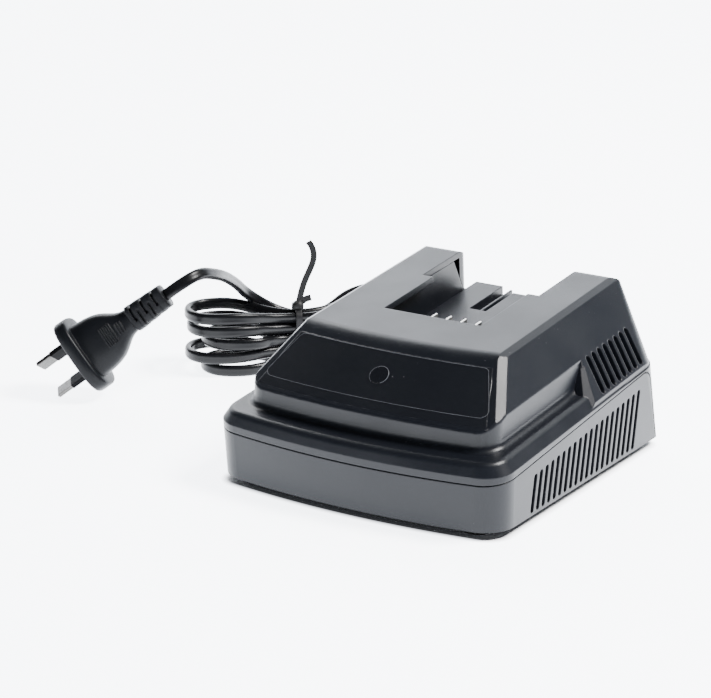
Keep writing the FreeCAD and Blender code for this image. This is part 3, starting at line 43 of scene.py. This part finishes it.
# Camera, solved from the photograph's edges: angles in degrees, lengths in millimetres

CAMERA_AZIMUTH = 31.836
CAMERA_ELEVATION = 17.804
CAMERA_ROLL = 0.323
CAMERA_DISTANCE = 1103.55
CAMERA_RIGHT = -1.081
CAMERA_UP = 58.997
CAMERA_LENS = 144.21
SENSOR_WIDTH = 36


def photo_camera():
    """Camera at the photograph's place, looking along its axis."""
    azimuth, elevation = math.radians(CAMERA_AZIMUTH), math.radians(CAMERA_ELEVATION)
    roll = math.radians(CAMERA_ROLL)
    away = Vector((math.sin(azimuth) * math.cos(elevation), -math.cos(azimuth) * math.cos(elevation),
                   math.sin(elevation)))
    level = Vector((math.cos(azimuth), math.sin(azimuth), 0))
    above = away.cross(level)
    right = level * math.cos(roll) + above * math.sin(roll)
    up = above * math.cos(roll) - level * math.sin(roll)
    target = Vector((0, 9.867 + FRONT_Y, 0.0737 + FOOT_HEIGHT))
    place = (right * CAMERA_RIGHT + up * CAMERA_UP + away * CAMERA_DISTANCE + target) * MM
    data = bpy.data.cameras.new("camera")
    data.sensor_width = SENSOR_WIDTH
    data.lens = CAMERA_LENS
    data.dof.use_dof = False
    data.clip_start = 0.05
    data.clip_end = 60
    camera = bpy.data.objects.new("camera", data)
    turn = Matrix((right, up, away)).transposed().to_4x4()
    camera.matrix_world = Matrix.Translation(place) @ turn
    bpy.context.scene.collection.objects.link(camera)
    bpy.context.scene.camera = camera


# Materials

EDGE_RADIUS = 0.0006        # how far sharp edges are softened in the shading, in metres
GRAIN_DEPTH = 0.00008
METAL_GRAIN_DEPTH = 0.00005
PLAIN_SHINE = 0.20          # strength of the mirror-like reflection, where a material names no other
SHEEN_SCALE = 38.0          # patches per metre in which the roughness wanders
SPECK_SCALE = 330.0
SPECK_COLOR = (0.42, 0.43, 0.45)
STREAK_SCALE = 420.0


def shader(name, color, roughness, metallic=0.0):
    """New node material with a principled shader; returns material, nodes, links and shader."""
    material = bpy.data.materials.new(name)
    material.use_nodes = True
    nodes = material.node_tree.nodes
    main = nodes["Principled BSDF"]
    main.inputs["Base Color"].default_value = (*color, 1)
    main.inputs["Roughness"].default_value = roughness
    main.inputs["Metallic"].default_value = metallic
    main.inputs["Specular IOR Level"].default_value = PLAIN_SHINE
    return material, nodes, material.node_tree.links, main


def place_node(nodes, links, target):
    """Feeds the object's own coordinates to a texture."""
    place = nodes.new("ShaderNodeTexCoord")
    links.new(place.outputs["Object"], target)


def noise(nodes, links, scale, detail=3.0):
    """Noise in the object's own space."""
    texture = nodes.new("ShaderNodeTexNoise")
    texture.inputs["Scale"].default_value = scale
    texture.inputs["Detail"].default_value = detail
    place_node(nodes, links, texture.inputs["Vector"])
    return texture


def ramp(nodes, links, source, low, high, start, end):
    """Maps a value between two limits to a new range."""
    span = nodes.new("ShaderNodeMapRange")
    span.inputs["From Min"].default_value = low
    span.inputs["From Max"].default_value = high
    span.inputs["To Min"].default_value = start
    span.inputs["To Max"].default_value = end
    links.new(source, span.inputs["Value"])
    return span.outputs["Result"]


def grain(nodes, links, main, scale, strength, distance, soft_edges=True):
    """Fine texture as a bump, with sharp edges softened unless told otherwise."""
    texture = noise(nodes, links, scale, 2.0)
    bump = nodes.new("ShaderNodeBump")
    bump.inputs["Strength"].default_value = strength
    bump.inputs["Distance"].default_value = distance
    links.new(texture.outputs["Fac"], bump.inputs["Height"])
    if soft_edges:
        edge = nodes.new("ShaderNodeBevel")
        edge.samples = 4
        edge.inputs["Radius"].default_value = EDGE_RADIUS
        links.new(edge.outputs["Normal"], bump.inputs["Normal"])
    links.new(bump.outputs["Normal"], main.inputs["Normal"])


def moulded(name, color, roughness, scale=2600.0, strength=0.25, dust=0.0, shine=0.19, soft_edges=True):
    """Moulded plastic or rubber with a fine grain, uneven sheen and a little dust."""
    material, nodes, links, main = shader(name, color, roughness)
    sheen = noise(nodes, links, SHEEN_SCALE, 4.0)
    links.new(ramp(nodes, links, sheen.outputs["Fac"], 0.3, 0.7, roughness * 0.9, roughness * 1.12),
              main.inputs["Roughness"])
    grain(nodes, links, main, scale, strength, GRAIN_DEPTH, soft_edges)
    main.inputs["Specular IOR Level"].default_value = shine
    if dust > 0:
        specks = nodes.new("ShaderNodeTexVoronoi")
        specks.inputs["Scale"].default_value = SPECK_SCALE
        specks.inputs["Randomness"].default_value = 1.0
        place_node(nodes, links, specks.inputs["Vector"])
        small = ramp(nodes, links, specks.outputs["Distance"], 0.06, 0.035, 0.0, 1.0)
        rare = noise(nodes, links, 90.0, 2.0)
        patch = ramp(nodes, links, rare.outputs["Fac"], 0.56, 0.66, 0.0, dust)
        amount = nodes.new("ShaderNodeMath")
        amount.operation = "MULTIPLY"
        links.new(small, amount.inputs[0])
        links.new(patch, amount.inputs[1])
        mix = nodes.new("ShaderNodeMix")
        mix.data_type = "RGBA"
        mix.inputs["A"].default_value = (*color, 1)
        mix.inputs["B"].default_value = (*SPECK_COLOR, 1)
        links.new(amount.outputs["Value"], mix.inputs["Factor"])
        links.new(mix.outputs["Result"], main.inputs["Base Color"])
    return material


def metal(name, color, roughness):
    """Plated or rolled metal with faint streaks."""
    material, nodes, links, main = shader(name, color, roughness, 1.0)
    streaks = noise(nodes, links, STREAK_SCALE, 5.0)
    links.new(ramp(nodes, links, streaks.outputs["Fac"], 0.3, 0.7, roughness * 0.75, roughness * 1.35),
              main.inputs["Roughness"])
    grain(nodes, links, main, 900.0, 0.12, METAL_GRAIN_DEPTH)
    return material


def dress(node, material):
    """Gives a carried CAD node its material."""
    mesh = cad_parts[node].data
    mesh.materials.clear()
    mesh.materials.append(material)


def build_materials():
    """All materials by a plain name."""
    made = {}
    made["shell"] = moulded("shell", (0.0042, 0.0050, 0.0072), 0.34, 2600, 0.30, dust=0.5)
    made["tray"] = moulded("tray", (0.0048, 0.0055, 0.0075), 0.36, 2600, 0.30, dust=0.4)
    made["overlay"] = moulded("overlay", (0.0044, 0.0050, 0.0068), 0.31, 3600, 0.35, dust=0.9,
                              soft_edges=False)
    made["window"] = moulded("window", (0.004, 0.0045, 0.006), 0.16, 600, 0.05)
    # Lighter colour of the thin raised lines on the face: painted highlights along the overlay's edge and
    # round the window's rim
    made["line"] = moulded("line", (0.075, 0.08, 0.09), 0.45)
    made["black"] = moulded("black", (0.012, 0.012, 0.013), 0.5)
    made["cord"] = moulded("cord", (0.0035, 0.0037, 0.0044), 0.28, 1500, 0.12, shine=0.15)
    made["plug"] = moulded("plug", (0.0036, 0.0040, 0.0050), 0.34, 1400, 0.15, shine=0.09)
    made["sleeve"] = moulded("sleeve", (0.003, 0.003, 0.0035), 0.42, 1400, 0.15, shine=0.03)
    made["foot"] = moulded("foot", (0.012, 0.012, 0.012), 0.75, 1800, 0.5)
    made["board"] = moulded("board", (0.16, 0.11, 0.035), 0.5, 900, 0.2)
    made["ferrite"] = moulded("ferrite", (0.03, 0.03, 0.032), 0.6, 1300, 0.6)
    made["tape"] = moulded("tape", (0.55, 0.38, 0.05), 0.35, 700, 0.2)
    made["can"] = moulded("can", (0.012, 0.015, 0.03), 0.3, 900, 0.1)
    made["glass"] = moulded("glass", (0.5, 0.5, 0.46), 0.15, 500, 0.05)
    made["wire"] = moulded("wire", (0.2, 0.014, 0.01), 0.35, 900, 0.1)
    made["green"] = moulded("green", (0.02, 0.13, 0.05), 0.4, 900, 0.15)
    made["lamp"] = moulded("lamp", (0.4, 0.42, 0.36), 0.3, 900, 0.1)
    made["blade"] = metal("blade", (0.80, 0.78, 0.74), 0.24)
    made["pin"] = metal("pin", (0.095, 0.092, 0.088), 0.26)
    made["steel"] = metal("steel", (0.5, 0.5, 0.52), 0.35)
    made["aluminium"] = metal("aluminium", (0.75, 0.76, 0.78), 0.38)
    made["copper"] = metal("copper", (0.75, 0.33, 0.16), 0.3)
    return made


LOOKS = {
    "lower_shell": "shell", "upper_shell": "shell", "dock_tray": "tray", "front_panel": "overlay",
    "indicator_lens": "window", "indicator_lamp": "lamp", "terminal_block": "black",
    "contact_blades": "blade", "circuit_board": "board", "board_screws": "steel",
    "transformer_core": "ferrite", "transformer_winding": "tape", "input_capacitor": "can",
    "output_capacitors": "can", "heat_sink": "aluminium", "power_transistors": "black",
    "mains_choke": "copper", "fuse": "glass", "housing_screws": "steel", "rubber_feet": "foot",
    "cord_gland": "plug", "mains_terminal": "green", "mains_leads": "wire", "output_leads": "wire",
    "plug_body": "plug", "plug_relief": "plug", "plug_pins": "pin", "pin_sleeves": "sleeve",
    "cord_tie": "black",
}


# Mains cord: one smooth line with the route's own points, in millimetres

HANK_X, HANK_Y, HANK_TURN = -117.0, 75.5, math.radians(40.0)
LOOPS = 5
FOLD_RADIUS = 12.5
WAIST_ALONG, WAIST_ACROSS = 9.2, 2.5       # where each strand passes the tie
RIGHT_TURN = 24.8                          # where the right folds begin, along the hank
LEFT_LEVEL, LEFT_STEP = 2.6, 6.0           # height of the lowest left fold, and from one to the next
RIGHT_LEVEL, RIGHT_STEP = 2.3, 5.5
WAIST_LEVEL, WAIST_STEP = 3.2, 4.95
PLUG_END = Vector((-140.2, 7.4, 46.1))     # where the cord enters the plug's sleeve
LEFT_REACHES = [42.0, 49.0, 41.5, 48.0, 49.0]
RIGHT_REACHES = [46.5, 50.0, 47.0, 50.5]


def hank_point(along, across, height):
    """Point given along and across the hank and above the table, in millimetres."""
    x = HANK_X + along * math.cos(HANK_TURN) - across * math.sin(HANK_TURN)
    y = HANK_Y + along * math.sin(HANK_TURN) + across * math.cos(HANK_TURN)
    return Vector((x, y, height))


def fold(middle, across, radius, height, side):
    """Control points of a half turn round a middle, from the near to the far side or back."""
    reach = radius / math.cos(math.radians(22.5))
    points = []
    for step in (67.5, 22.5, -22.5, -67.5):
        swing = math.radians(step)
        along = middle + side * reach * math.cos(swing)
        points.append((along, across + side * reach * math.sin(swing), height))
    return points


def hank_turns():
    """Control points of the loops, from the plug's end to the housing's end."""
    row = [(-8.5, 14.5, 21.5), (3.0, 9.9, 19.3), (14.0, 11.2, 20.6), (26.5, 17.6, 28.6)]
    row += fold(36.0, 2.0, 16.0, 29.8, 1)
    for loop in range(LOOPS - 1, -1, -1):
        level = LEFT_LEVEL + LEFT_STEP * loop
        waist = WAIST_LEVEL + WAIST_STEP * loop
        middle = FOLD_RADIUS - LEFT_REACHES[loop]
        start = -FOLD_RADIUS if loop < LOOPS - 1 else -14.0
        above = RIGHT_LEVEL + RIGHT_STEP * (loop + 1)
        row += [(RIGHT_TURN, start, above), (WAIST_ALONG, -WAIST_ACROSS, waist)]
        row += [(-WAIST_ALONG, -WAIST_ACROSS, waist), (middle + 10, -FOLD_RADIUS, level)]
        row += fold(middle, 0.0, FOLD_RADIUS, level, -1)
        row += [(middle + 10, FOLD_RADIUS, level), (-WAIST_ALONG, WAIST_ACROSS, waist)]
        if loop > 0:
            reach = RIGHT_REACHES[loop - 1]
            level = RIGHT_LEVEL + RIGHT_STEP * loop
            row += [(WAIST_ALONG, WAIST_ACROSS, waist), (RIGHT_TURN, FOLD_RADIUS, level)]
            row += fold(reach - FOLD_RADIUS, 0.0, FOLD_RADIUS, level, 1)
    row += [(9.5, 2.5, 2.75), (26.0, 10.4, 2.65)]
    return row


def cord_route():
    """Whole route from the housing's sleeve to the plug's, in metres, with a tilt for each point."""
    leaving = Vector((-35.0, 93.2, 17.0))
    exit_row = [leaving, leaving + Vector((0, 13, 0)), leaving + Vector((-3, 25, -9.0)),
                leaving + Vector((-13, 35.7, -14.9)), leaving + Vector((-29, 39.4, -15.1)),
                Vector((-81.5, 123.0, 1.9)), Vector((-95.0, 109.5, 2.1))]
    turns = hank_turns()[::-1]
    start = hank_point(-21.85, 9.33, 31.28)
    heading = Vector((-0.1502, 0.8013, -0.5800))
    lead_row = [start, start - heading * 14, Vector((-134.4, 43.6, 46.6)), Vector((-131.8, 31.8, 51.0)),
                Vector((-131.0, 20.3, 54.4)), Vector((-133.93, 10.70, 51.57)), PLUG_END]
    hank_row = [hank_point(*point) for point in turns]
    points = [point * MM for point in exit_row + hank_row + lead_row]
    tilts = [1.57] * len(exit_row)
    for along, _, _ in turns:
        tilts.append(0.62 if abs(along) < 16 else 0.0)
    tilts += [0.0, 0.1, 0.3, 0.5, 0.6, 0.6, 0.6]
    return points, tilts


CORD_HALF_WIDTH = 2.55
CORD_HALF_THICKNESS = 1.62
GROOVE_DEPTH = 0.20
GROOVE_WIDTH = 0.42
SECTION_POINTS = 32


def flat_section():
    """Flat twin section of the cord as a closed curve, with a shallow groove on both sides."""
    data = bpy.data.curves.new("cord section", "CURVE")
    data.dimensions = "2D"
    spline = data.splines.new("POLY")
    outline = []
    for index in range(SECTION_POINTS):
        swing = 2 * math.pi * index / SECTION_POINTS
        wide = CORD_HALF_WIDTH * math.copysign(abs(math.cos(swing)) ** 0.75, math.cos(swing))
        thick = CORD_HALF_THICKNESS * math.copysign(abs(math.sin(swing)) ** 0.8, math.sin(swing))
        dent = GROOVE_DEPTH * math.exp(-(wide / GROOVE_WIDTH) ** 2)
        outline.append((thick - math.copysign(dent, thick), wide))
    spline.points.add(len(outline) - 1)
    for point, (x, y) in zip(spline.points, outline):
        point.co = (x * MM, y * MM, 0, 1)
    spline.use_cyclic_u = True
    section = bpy.data.objects.new("cord section", data)
    bpy.context.scene.collection.objects.link(section)
    section.hide_render = True
    section.hide_viewport = True
    return section


def mains_cord(material, plug_pieces):
    """Flat twin cord from the housing to the plug, looped into the hank."""
    points, tilts = cord_route()
    data = bpy.data.curves.new("mains_cord", "CURVE")
    data.dimensions = "3D"
    data.twist_mode = "Z_UP"
    spline = data.splines.new("NURBS")
    spline.points.add(len(points) - 1)
    for target, point, tilt in zip(spline.points, points, tilts):
        target.co = (*point, 1)
        target.tilt = tilt
    spline.order_u = 3
    spline.use_endpoint_u = True
    spline.resolution_u = 8
    data.bevel_mode = "OBJECT"
    data.bevel_object = flat_section()
    data.use_fill_caps = True
    data.materials.append(material)
    cord = bpy.data.objects.new("mains_cord", data)
    bpy.context.scene.collection.objects.link(cord)
    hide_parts("cord_exit", "cord_hank", "cord_lead")
    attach(cord, "root")


# Plug, in its own frame: x the long way, y the short way, z from the socket towards the cord

PLUG_AXIS = Vector((0.697, 0.367, 0.608)).normalized()
PLUG_LONG = Vector((0.629, 0.099, -0.771))
PLUG_LONG = (PLUG_LONG - PLUG_AXIS * PLUG_LONG.dot(PLUG_AXIS)).normalized()
PLUG_SHORT = PLUG_AXIS.cross(PLUG_LONG)
PLUG_LENGTH = 48.0
PLUG_ORIGIN = PLUG_END - PLUG_AXIS * PLUG_LENGTH
RING_STEPS = 72
SHARP_ANGLE = math.radians(40)
NOTCH_FROM = -0.35          # share of the half width at which a notch begins
NOTCH_LONG, NOTCH_SHORT = 0.80, 0.78
RIB_RADIUS = 0.27
RIB_STEPS = 10
SEGMENTS = 6
SEGMENT_START, SEGMENT_PITCH, SEGMENT_LENGTH = 30.4, 2.85, 1.55


def plug_point(x, y, z):
    """Place of a point given in the plug's frame, in metres."""
    return (PLUG_ORIGIN + PLUG_LONG * x + PLUG_SHORT * y + PLUG_AXIS * z) * MM


def section(half_long, half_short, power, height, side=0):
    """Rounded section across the plug; a side other than 0 gets a notch to past the middle."""
    ring = []
    for step in range(RING_STEPS):
        swing = 2 * math.pi * (step + 0.5) / RING_STEPS
        x = half_long * math.copysign(abs(math.cos(swing)) ** (2 / power), math.cos(swing))
        y = half_short * math.copysign(abs(math.sin(swing)) ** (2 / power), math.sin(swing))
        if side and x * side > NOTCH_FROM * half_long:
            x, y = x * NOTCH_LONG, y * NOTCH_SHORT
        ring.append((x, y, height))
    return ring


def skin(name, bodies, material):
    """Closed skins in the plug's frame, each through its own row of sections, as one piece."""
    corners = []
    faces = []
    for rings in bodies:
        count = len(rings[0])
        start = len(corners)
        corners += [plug_point(*point) for ring in rings for point in ring]
        faces.append(tuple(range(start, start + count))[::-1])
        for low in range(len(rings) - 1):
            first = start + low * count
            for step in range(count):
                after = (step + 1) % count
                faces.append((first + step, first + after, first + count + after, first + count + step))
        last = start + (len(rings) - 1) * count
        faces.append(tuple(range(last, last + count)))
    mesh = bpy.data.meshes.new(name)
    mesh.from_pydata(corners, [], faces)
    mesh.materials.append(material)
    for face in mesh.polygons:
        face.use_smooth = True
    mesh.set_sharp_from_angle(angle=SHARP_ANGLE)
    item = bpy.data.objects.new(name, mesh)
    bpy.context.scene.collection.objects.link(item)
    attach(item, "root")
    return item


# Height, half of the long way and half of the short way
GRIP = [(6.0, 13.3, 8.6), (6.7, 13.0, 8.3), (9.0, 12.8, 8.1), (12.0, 12.5, 7.8), (15.0, 11.9, 7.3),
        (18.0, 10.9, 6.8), (20.5, 9.5, 6.3), (22.5, 8.1, 5.9), (24.5, 6.8, 5.5), (26.5, 5.9, 5.1),
        (28.5, 5.5, 4.8), (30.5, 5.3, 4.6)]


def grip_reach(height):
    """Half of the grip's short way at a height."""
    for (low, _, first), (high, _, second) in zip(GRIP, GRIP[1:]):
        if low <= height <= high:
            return first + (second - first) * (height - low) / (high - low)
    return GRIP[-1][2]


def grip_rib(height, span, side):
    """Sections of one fine rib across a broad side of the grip."""
    swings = [2 * math.pi * step / RIB_STEPS for step in range(RIB_STEPS)]
    rib = []
    for share in (-1.0, -0.5, 0.0, 0.5, 1.0):
        reach = side * grip_reach(height) * (1 - 0.02 * share * share)
        rib.append([(span * share, reach + RIB_RADIUS * math.cos(swing),
                     height + RIB_RADIUS * math.sin(swing)) for swing in swings])
    return rib


def moulded_plug(material):
    """Flange with a rounded rim, bell-shaped grip with fine ribs, and a notched sleeve."""
    rings = [section(16.2, 10.7, 3.2, 0.0), section(17.0, 11.5, 3.2, 0.3), section(17.4, 11.9, 3.2, 1.0)]
    rings += [section(17.3, 11.8, 3.2, 5.0), section(16.9, 11.4, 3.2, 5.7), section(16.0, 10.6, 3.2, 6.0)]
    rings += [section(long_half, short_half, 2.7, height) for height, long_half, short_half in GRIP]
    bodies = [rings]
    rows = [(16.5 + 0.95 * index, 4.6) for index in range(6)]
    rows += [(23.2 + 1.3 * index, 2.6) for index in range(3)]
    for side in (-1, 1):
        for height, span in rows:
            bodies.append(grip_rib(height, span, side))
    grip = skin("moulded_plug", bodies, material)
    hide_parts("plug_body")
    rings = [section(5.1, 4.4, 4.0, 29.5)]
    for index in range(SEGMENTS):
        low = SEGMENT_START + SEGMENT_PITCH * index
        share = index / (SEGMENTS - 1)
        long_half, short_half = 6.1 - 0.7 * share, 5.2 - 0.6 * share
        side = 1 if index % 2 else -1
        rings.append(section(long_half, short_half, 4.0, low))
        rings.append(section(long_half, short_half, 4.0, low + SEGMENT_LENGTH))
        if index < SEGMENTS - 1:
            rings += [section(long_half, short_half, 4.0, low + 1.6, side)]
            rings += [section(long_half, short_half, 4.0, low + 2.75, side)]
    rings += [section(5.4, 4.6, 4.0, 46.8), section(5.3, 4.5, 4.0, 47.8), section(5.0, 4.2, 4.0, 48.0)]
    sleeve = skin("notched_sleeve", [rings], material)
    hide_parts("plug_relief")
    return ["moulded_plug", "notched_sleeve"]


# Overlay, and thin lines with painted highlights on the slanted face, in millimetres

FACE_LEAN = math.radians(40.3)
FACE_RADIUS = 305.0
FACE_SETBACK = 11.3         # from the housing's foremost point to the face's lower edge
FACE_FOOT = 36.2            # from the housing's bottom edge to the face's lower edge
SHEET_TOP = 0.02            # how far the overlay stands above the face
SHEET_RIM = (-0.03, 0.014)  # the same at its rim and one step in from it
SHEET_UNDER = -0.35
SHEET_COLUMNS, SHEET_ROWS = 72, 24
WINDOW_CLIMB = 17.5
WINDOW_RIM_RADIUS = 3.95


def face_point(x, climb, lift):
    """Point on the slanted, slightly cylindrical face, in metres."""
    sag = FACE_RADIUS - math.sqrt(FACE_RADIUS ** 2 - x ** 2)
    y = FACE_SETBACK + FRONT_Y + sag + climb * math.cos(FACE_LEAN) - lift * math.sin(FACE_LEAN)
    z = FACE_FOOT + FOOT_HEIGHT + climb * math.sin(FACE_LEAN) + lift * math.cos(FACE_LEAN)
    return Vector((x, y, z)) * MM


def overlay_sheet(material):
    """Overlay that follows the bowed face: a thin closed sheet with its rim just under the surface."""
    columns, rows = SHEET_COLUMNS, SHEET_ROWS
    low, high, low_half, high_half = 1.2, 29.6, 53.1, 44.2
    corners = []
    top, under = {}, {}
    for row in range(rows + 1):
        climb = low + (high - low) * row / rows
        half = low_half + (high_half - low_half) * row / rows
        for column in range(columns + 1):
            x = half * (2 * column / columns - 1)
            from_rim = min(row, rows - row, column, columns - column)
            top[row, column] = under[row, column] = len(corners)
            corners.append(face_point(x, climb, SHEET_RIM[from_rim] if from_rim < 2 else SHEET_TOP))
            if from_rim > 0:
                under[row, column] = len(corners)
                corners.append(face_point(x, climb, SHEET_UNDER))
    faces = []
    for row in range(rows):
        for column in range(columns):
            places = [(row, column), (row, column + 1), (row + 1, column + 1), (row + 1, column)]
            faces.append([top[place] for place in places])
            faces.append([under[place] for place in places[::-1]])
    mesh = bpy.data.meshes.new("overlay_sheet")
    mesh.from_pydata(corners, [], faces)
    mesh.materials.append(material)
    for face in mesh.polygons:
        face.use_smooth = True
    overlay = bpy.data.objects.new("overlay_sheet", mesh)
    bpy.context.scene.collection.objects.link(overlay)
    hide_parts("front_panel")
    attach(overlay, "root")


def face_line(name, places, closed, thickness, lift, material):
    """Thin raised line through places given across and up the slanted face."""
    data = bpy.data.curves.new(name, "CURVE")
    data.dimensions = "3D"
    spline = data.splines.new("POLY")
    spline.points.add(len(places) - 1)
    for target, (x, climb) in zip(spline.points, places):
        target.co = (*face_point(x, climb, lift), 1)
    spline.use_cyclic_u = closed
    data.bevel_depth = thickness * MM / 2
    data.bevel_resolution = 2
    data.materials.append(material)
    line = bpy.data.objects.new(name, data)
    bpy.context.scene.collection.objects.link(line)
    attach(line, "root")


def overlay_lines(material):
    """Painted highlights: a thin raised line along the overlay's edge, and an arc round the indicator
    window's rim, open at the bottom.
    """
    low, high, low_half, high_half, radius = 6.2, 28.4, 51.2, 42.1, 2.8
    slant = math.atan2(high - low, low_half - high_half)
    turn = 90.0 - math.degrees(slant)
    centres = [(low_half - radius / math.tan(slant / 2), low + radius, -90.0, turn),
               (high_half - radius * math.tan(slant / 2), high - radius, turn, 90.0)]
    right = []
    for x, climb, first, last in centres:
        for step in range(7):
            swing = math.radians(first + (last - first) * step / 6)
            right.append((x + radius * math.cos(swing), climb + radius * math.sin(swing)))
    top = [(right[-1][0] * (1 - step / 9), high) for step in range(1, 18)]
    bottom = [(right[0][0] * (step / 9 - 1), low) for step in range(1, 18)]
    left = [(-x, climb) for x, climb in right[::-1]]
    face_line("overlay_edge_highlight", right + top + left + bottom, True, 0.24, -0.03, material)
    # Rim arc over the left, top and right, open at the bottom: a painted highlight round the window
    rim = []
    for step in range(31):
        swing = math.radians(-60 + 300 * step / 30)
        rim.append((WINDOW_RIM_RADIUS * math.cos(swing), WINDOW_CLIMB + WINDOW_RIM_RADIUS * math.sin(swing)))
    face_line("window_rim_highlight", rim, False, 0.34, 0.05, material)


# Stage and light, in metres

# Footprint of the housing, round which the floor's glow fades out: a painted contact shadow under the
# housing
FOOTPRINT_HALF = 0.05605    # straight part of the housing's footprint, to each side
FOOTPRINT_FRONT = 0.06255
FOOTPRINT_REAR = 0.0635
BOW_DIAMETER = 0.688        # twice the radius of the bowed front
SHADOW_FADE_START, SHADOW_FADE_END = 0.0065, 0.0100
FLOOR_GLOW, BACKDROP_GLOW = 6.0, 3.2
FLOOR_FRONT, FLOOR_REAR, FLOOR_HALF = -6.0, 2.0, 6.0
BACKDROP_HALF, BACKDROP_HEIGHT = 3.2, 3.0
STAGE_TURN = math.radians(31.8)


def reckon(nodes, links, operation, first, second):
    """One sum on two sockets or numbers."""
    step = nodes.new("ShaderNodeMath")
    step.operation = operation
    for socket, value in zip(step.inputs, (first, second)):
        if isinstance(value, float):
            socket.default_value = value
        else:
            links.new(value, socket)
    return step.outputs["Value"]


def glow_with_painted_shadow(nodes, links, strength):
    """Strength on the floor outside the housing's footprint, fading to nothing under it: a painted contact
    shadow.
    """
    place = nodes.new("ShaderNodeTexCoord")
    parts = nodes.new("ShaderNodeSeparateXYZ")
    links.new(place.outputs["Object"], parts.inputs["Vector"])
    x, y = parts.outputs["X"], parts.outputs["Y"]
    side = reckon(nodes, links, "SUBTRACT", reckon(nodes, links, "ABSOLUTE", x, 0.0), FOOTPRINT_HALF)
    bow = reckon(nodes, links, "DIVIDE", reckon(nodes, links, "MULTIPLY", x, x), BOW_DIAMETER)
    front = reckon(nodes, links, "SUBTRACT", reckon(nodes, links, "SUBTRACT", bow, FOOTPRINT_FRONT), y)
    rear = reckon(nodes, links, "SUBTRACT", y, FOOTPRINT_REAR)
    ends = reckon(nodes, links, "MAXIMUM", front, rear)
    side = reckon(nodes, links, "MAXIMUM", side, 0.0)
    ends = reckon(nodes, links, "MAXIMUM", ends, 0.0)
    square = reckon(nodes, links, "ADD", reckon(nodes, links, "MULTIPLY", side, side),
                    reckon(nodes, links, "MULTIPLY", ends, ends))
    distance = reckon(nodes, links, "SQRT", square, 0.0)
    return ramp(nodes, links, distance, SHADOW_FADE_START, SHADOW_FADE_END, 0.0, strength)


def paper(name, strength, footprint):
    """Pale, self-lit paper; with a footprint, its glow fades under the housing as a painted contact shadow.
    """
    material, nodes, links, main = shader(name, (0.90, 0.905, 0.915), 0.75)
    main.inputs["Emission Color"].default_value = (0.90, 0.94, 1.0, 1)
    main.inputs["Emission Strength"].default_value = strength
    if footprint:
        links.new(glow_with_painted_shadow(nodes, links, strength), main.inputs["Emission Strength"])
    fibre = noise(nodes, links, 3.0, 2.0)
    links.new(ramp(nodes, links, fibre.outputs["Fac"], 0.3, 0.7, 0.72, 0.78), main.inputs["Roughness"])
    return material


def sheet(name, profile, half, material):
    """Paper that follows a side view and faces the camera."""
    turn = Matrix.Rotation(STAGE_TURN, 4, "Z")
    corners = []
    faces = []
    for y, z in profile:
        corners.append(turn @ Vector((-half, y, z)))
        corners.append(turn @ Vector((half, y, z)))
    for index in range(len(profile) - 1):
        low = index * 2
        faces.append((low, low + 1, low + 3, low + 2))
    mesh = bpy.data.meshes.new(name)
    mesh.from_pydata(corners, [], faces)
    for face in mesh.polygons:
        face.use_smooth = True
    mesh.materials.append(material)
    item = bpy.data.objects.new(name, mesh)
    bpy.context.scene.collection.objects.link(item)


def studio():
    """Pale floor with a rising backdrop behind the object."""
    floor = [(FLOOR_FRONT, 0.0), (FLOOR_REAR, 0.0)]
    # Floor glow, faded out under the housing: a painted contact shadow
    sheet("floor", floor, FLOOR_HALF, paper("floor paper", FLOOR_GLOW, True))
    profile = [(FLOOR_REAR, 0.0)]
    for step in range(1, 13):
        swing = math.pi / 2 * step / 12
        profile.append((FLOOR_REAR + math.sin(swing), 1.0 - math.cos(swing)))
    profile.append((FLOOR_REAR + 1.0, BACKDROP_HEIGHT))
    sheet("backdrop", profile, BACKDROP_HALF, paper("backdrop paper", BACKDROP_GLOW, False))


def soft_box(name, azimuth, elevation, distance, width, height, power, color=(1, 1, 1)):
    """Area light that faces the object from an azimuth and elevation like the camera's."""
    data = bpy.data.lights.new(name, "AREA")
    data.shape = "RECTANGLE"
    data.size = width
    data.size_y = height
    data.energy = power
    data.color = color
    light = bpy.data.objects.new(name, data)
    a, e = math.radians(azimuth), math.radians(elevation)
    away = Vector((math.sin(a) * math.cos(e), -math.cos(a) * math.cos(e), math.sin(e)))
    light.location = away * distance + Vector((0, 0, 0.03))
    light.rotation_mode = "QUATERNION"
    light.rotation_quaternion = away.to_track_quat("Z", "Y")
    bpy.context.scene.collection.objects.link(light)


def light_scene():
    """World and soft boxes."""
    world = bpy.data.worlds.new("studio")
    world.use_nodes = True
    ground = world.node_tree.nodes["Background"]
    ground.inputs["Color"].default_value = (0.93, 0.95, 1.0, 1)
    ground.inputs["Strength"].default_value = 0.14
    bpy.context.scene.world = world
    soft_box("key", 120, 54, 1.6, 0.5, 0.5, 90, (1.0, 0.99, 0.98))
    soft_box("left", -128, 34, 1.6, 0.5, 0.4, 6)


made = build_materials()
photo_camera()
for node, look in LOOKS.items():
    dress(node, made[look])
mains_cord(made["cord"], moulded_plug(made["plug"]))
overlay_sheet(made["overlay"])
overlay_lines(made["line"])
studio()
light_scene()
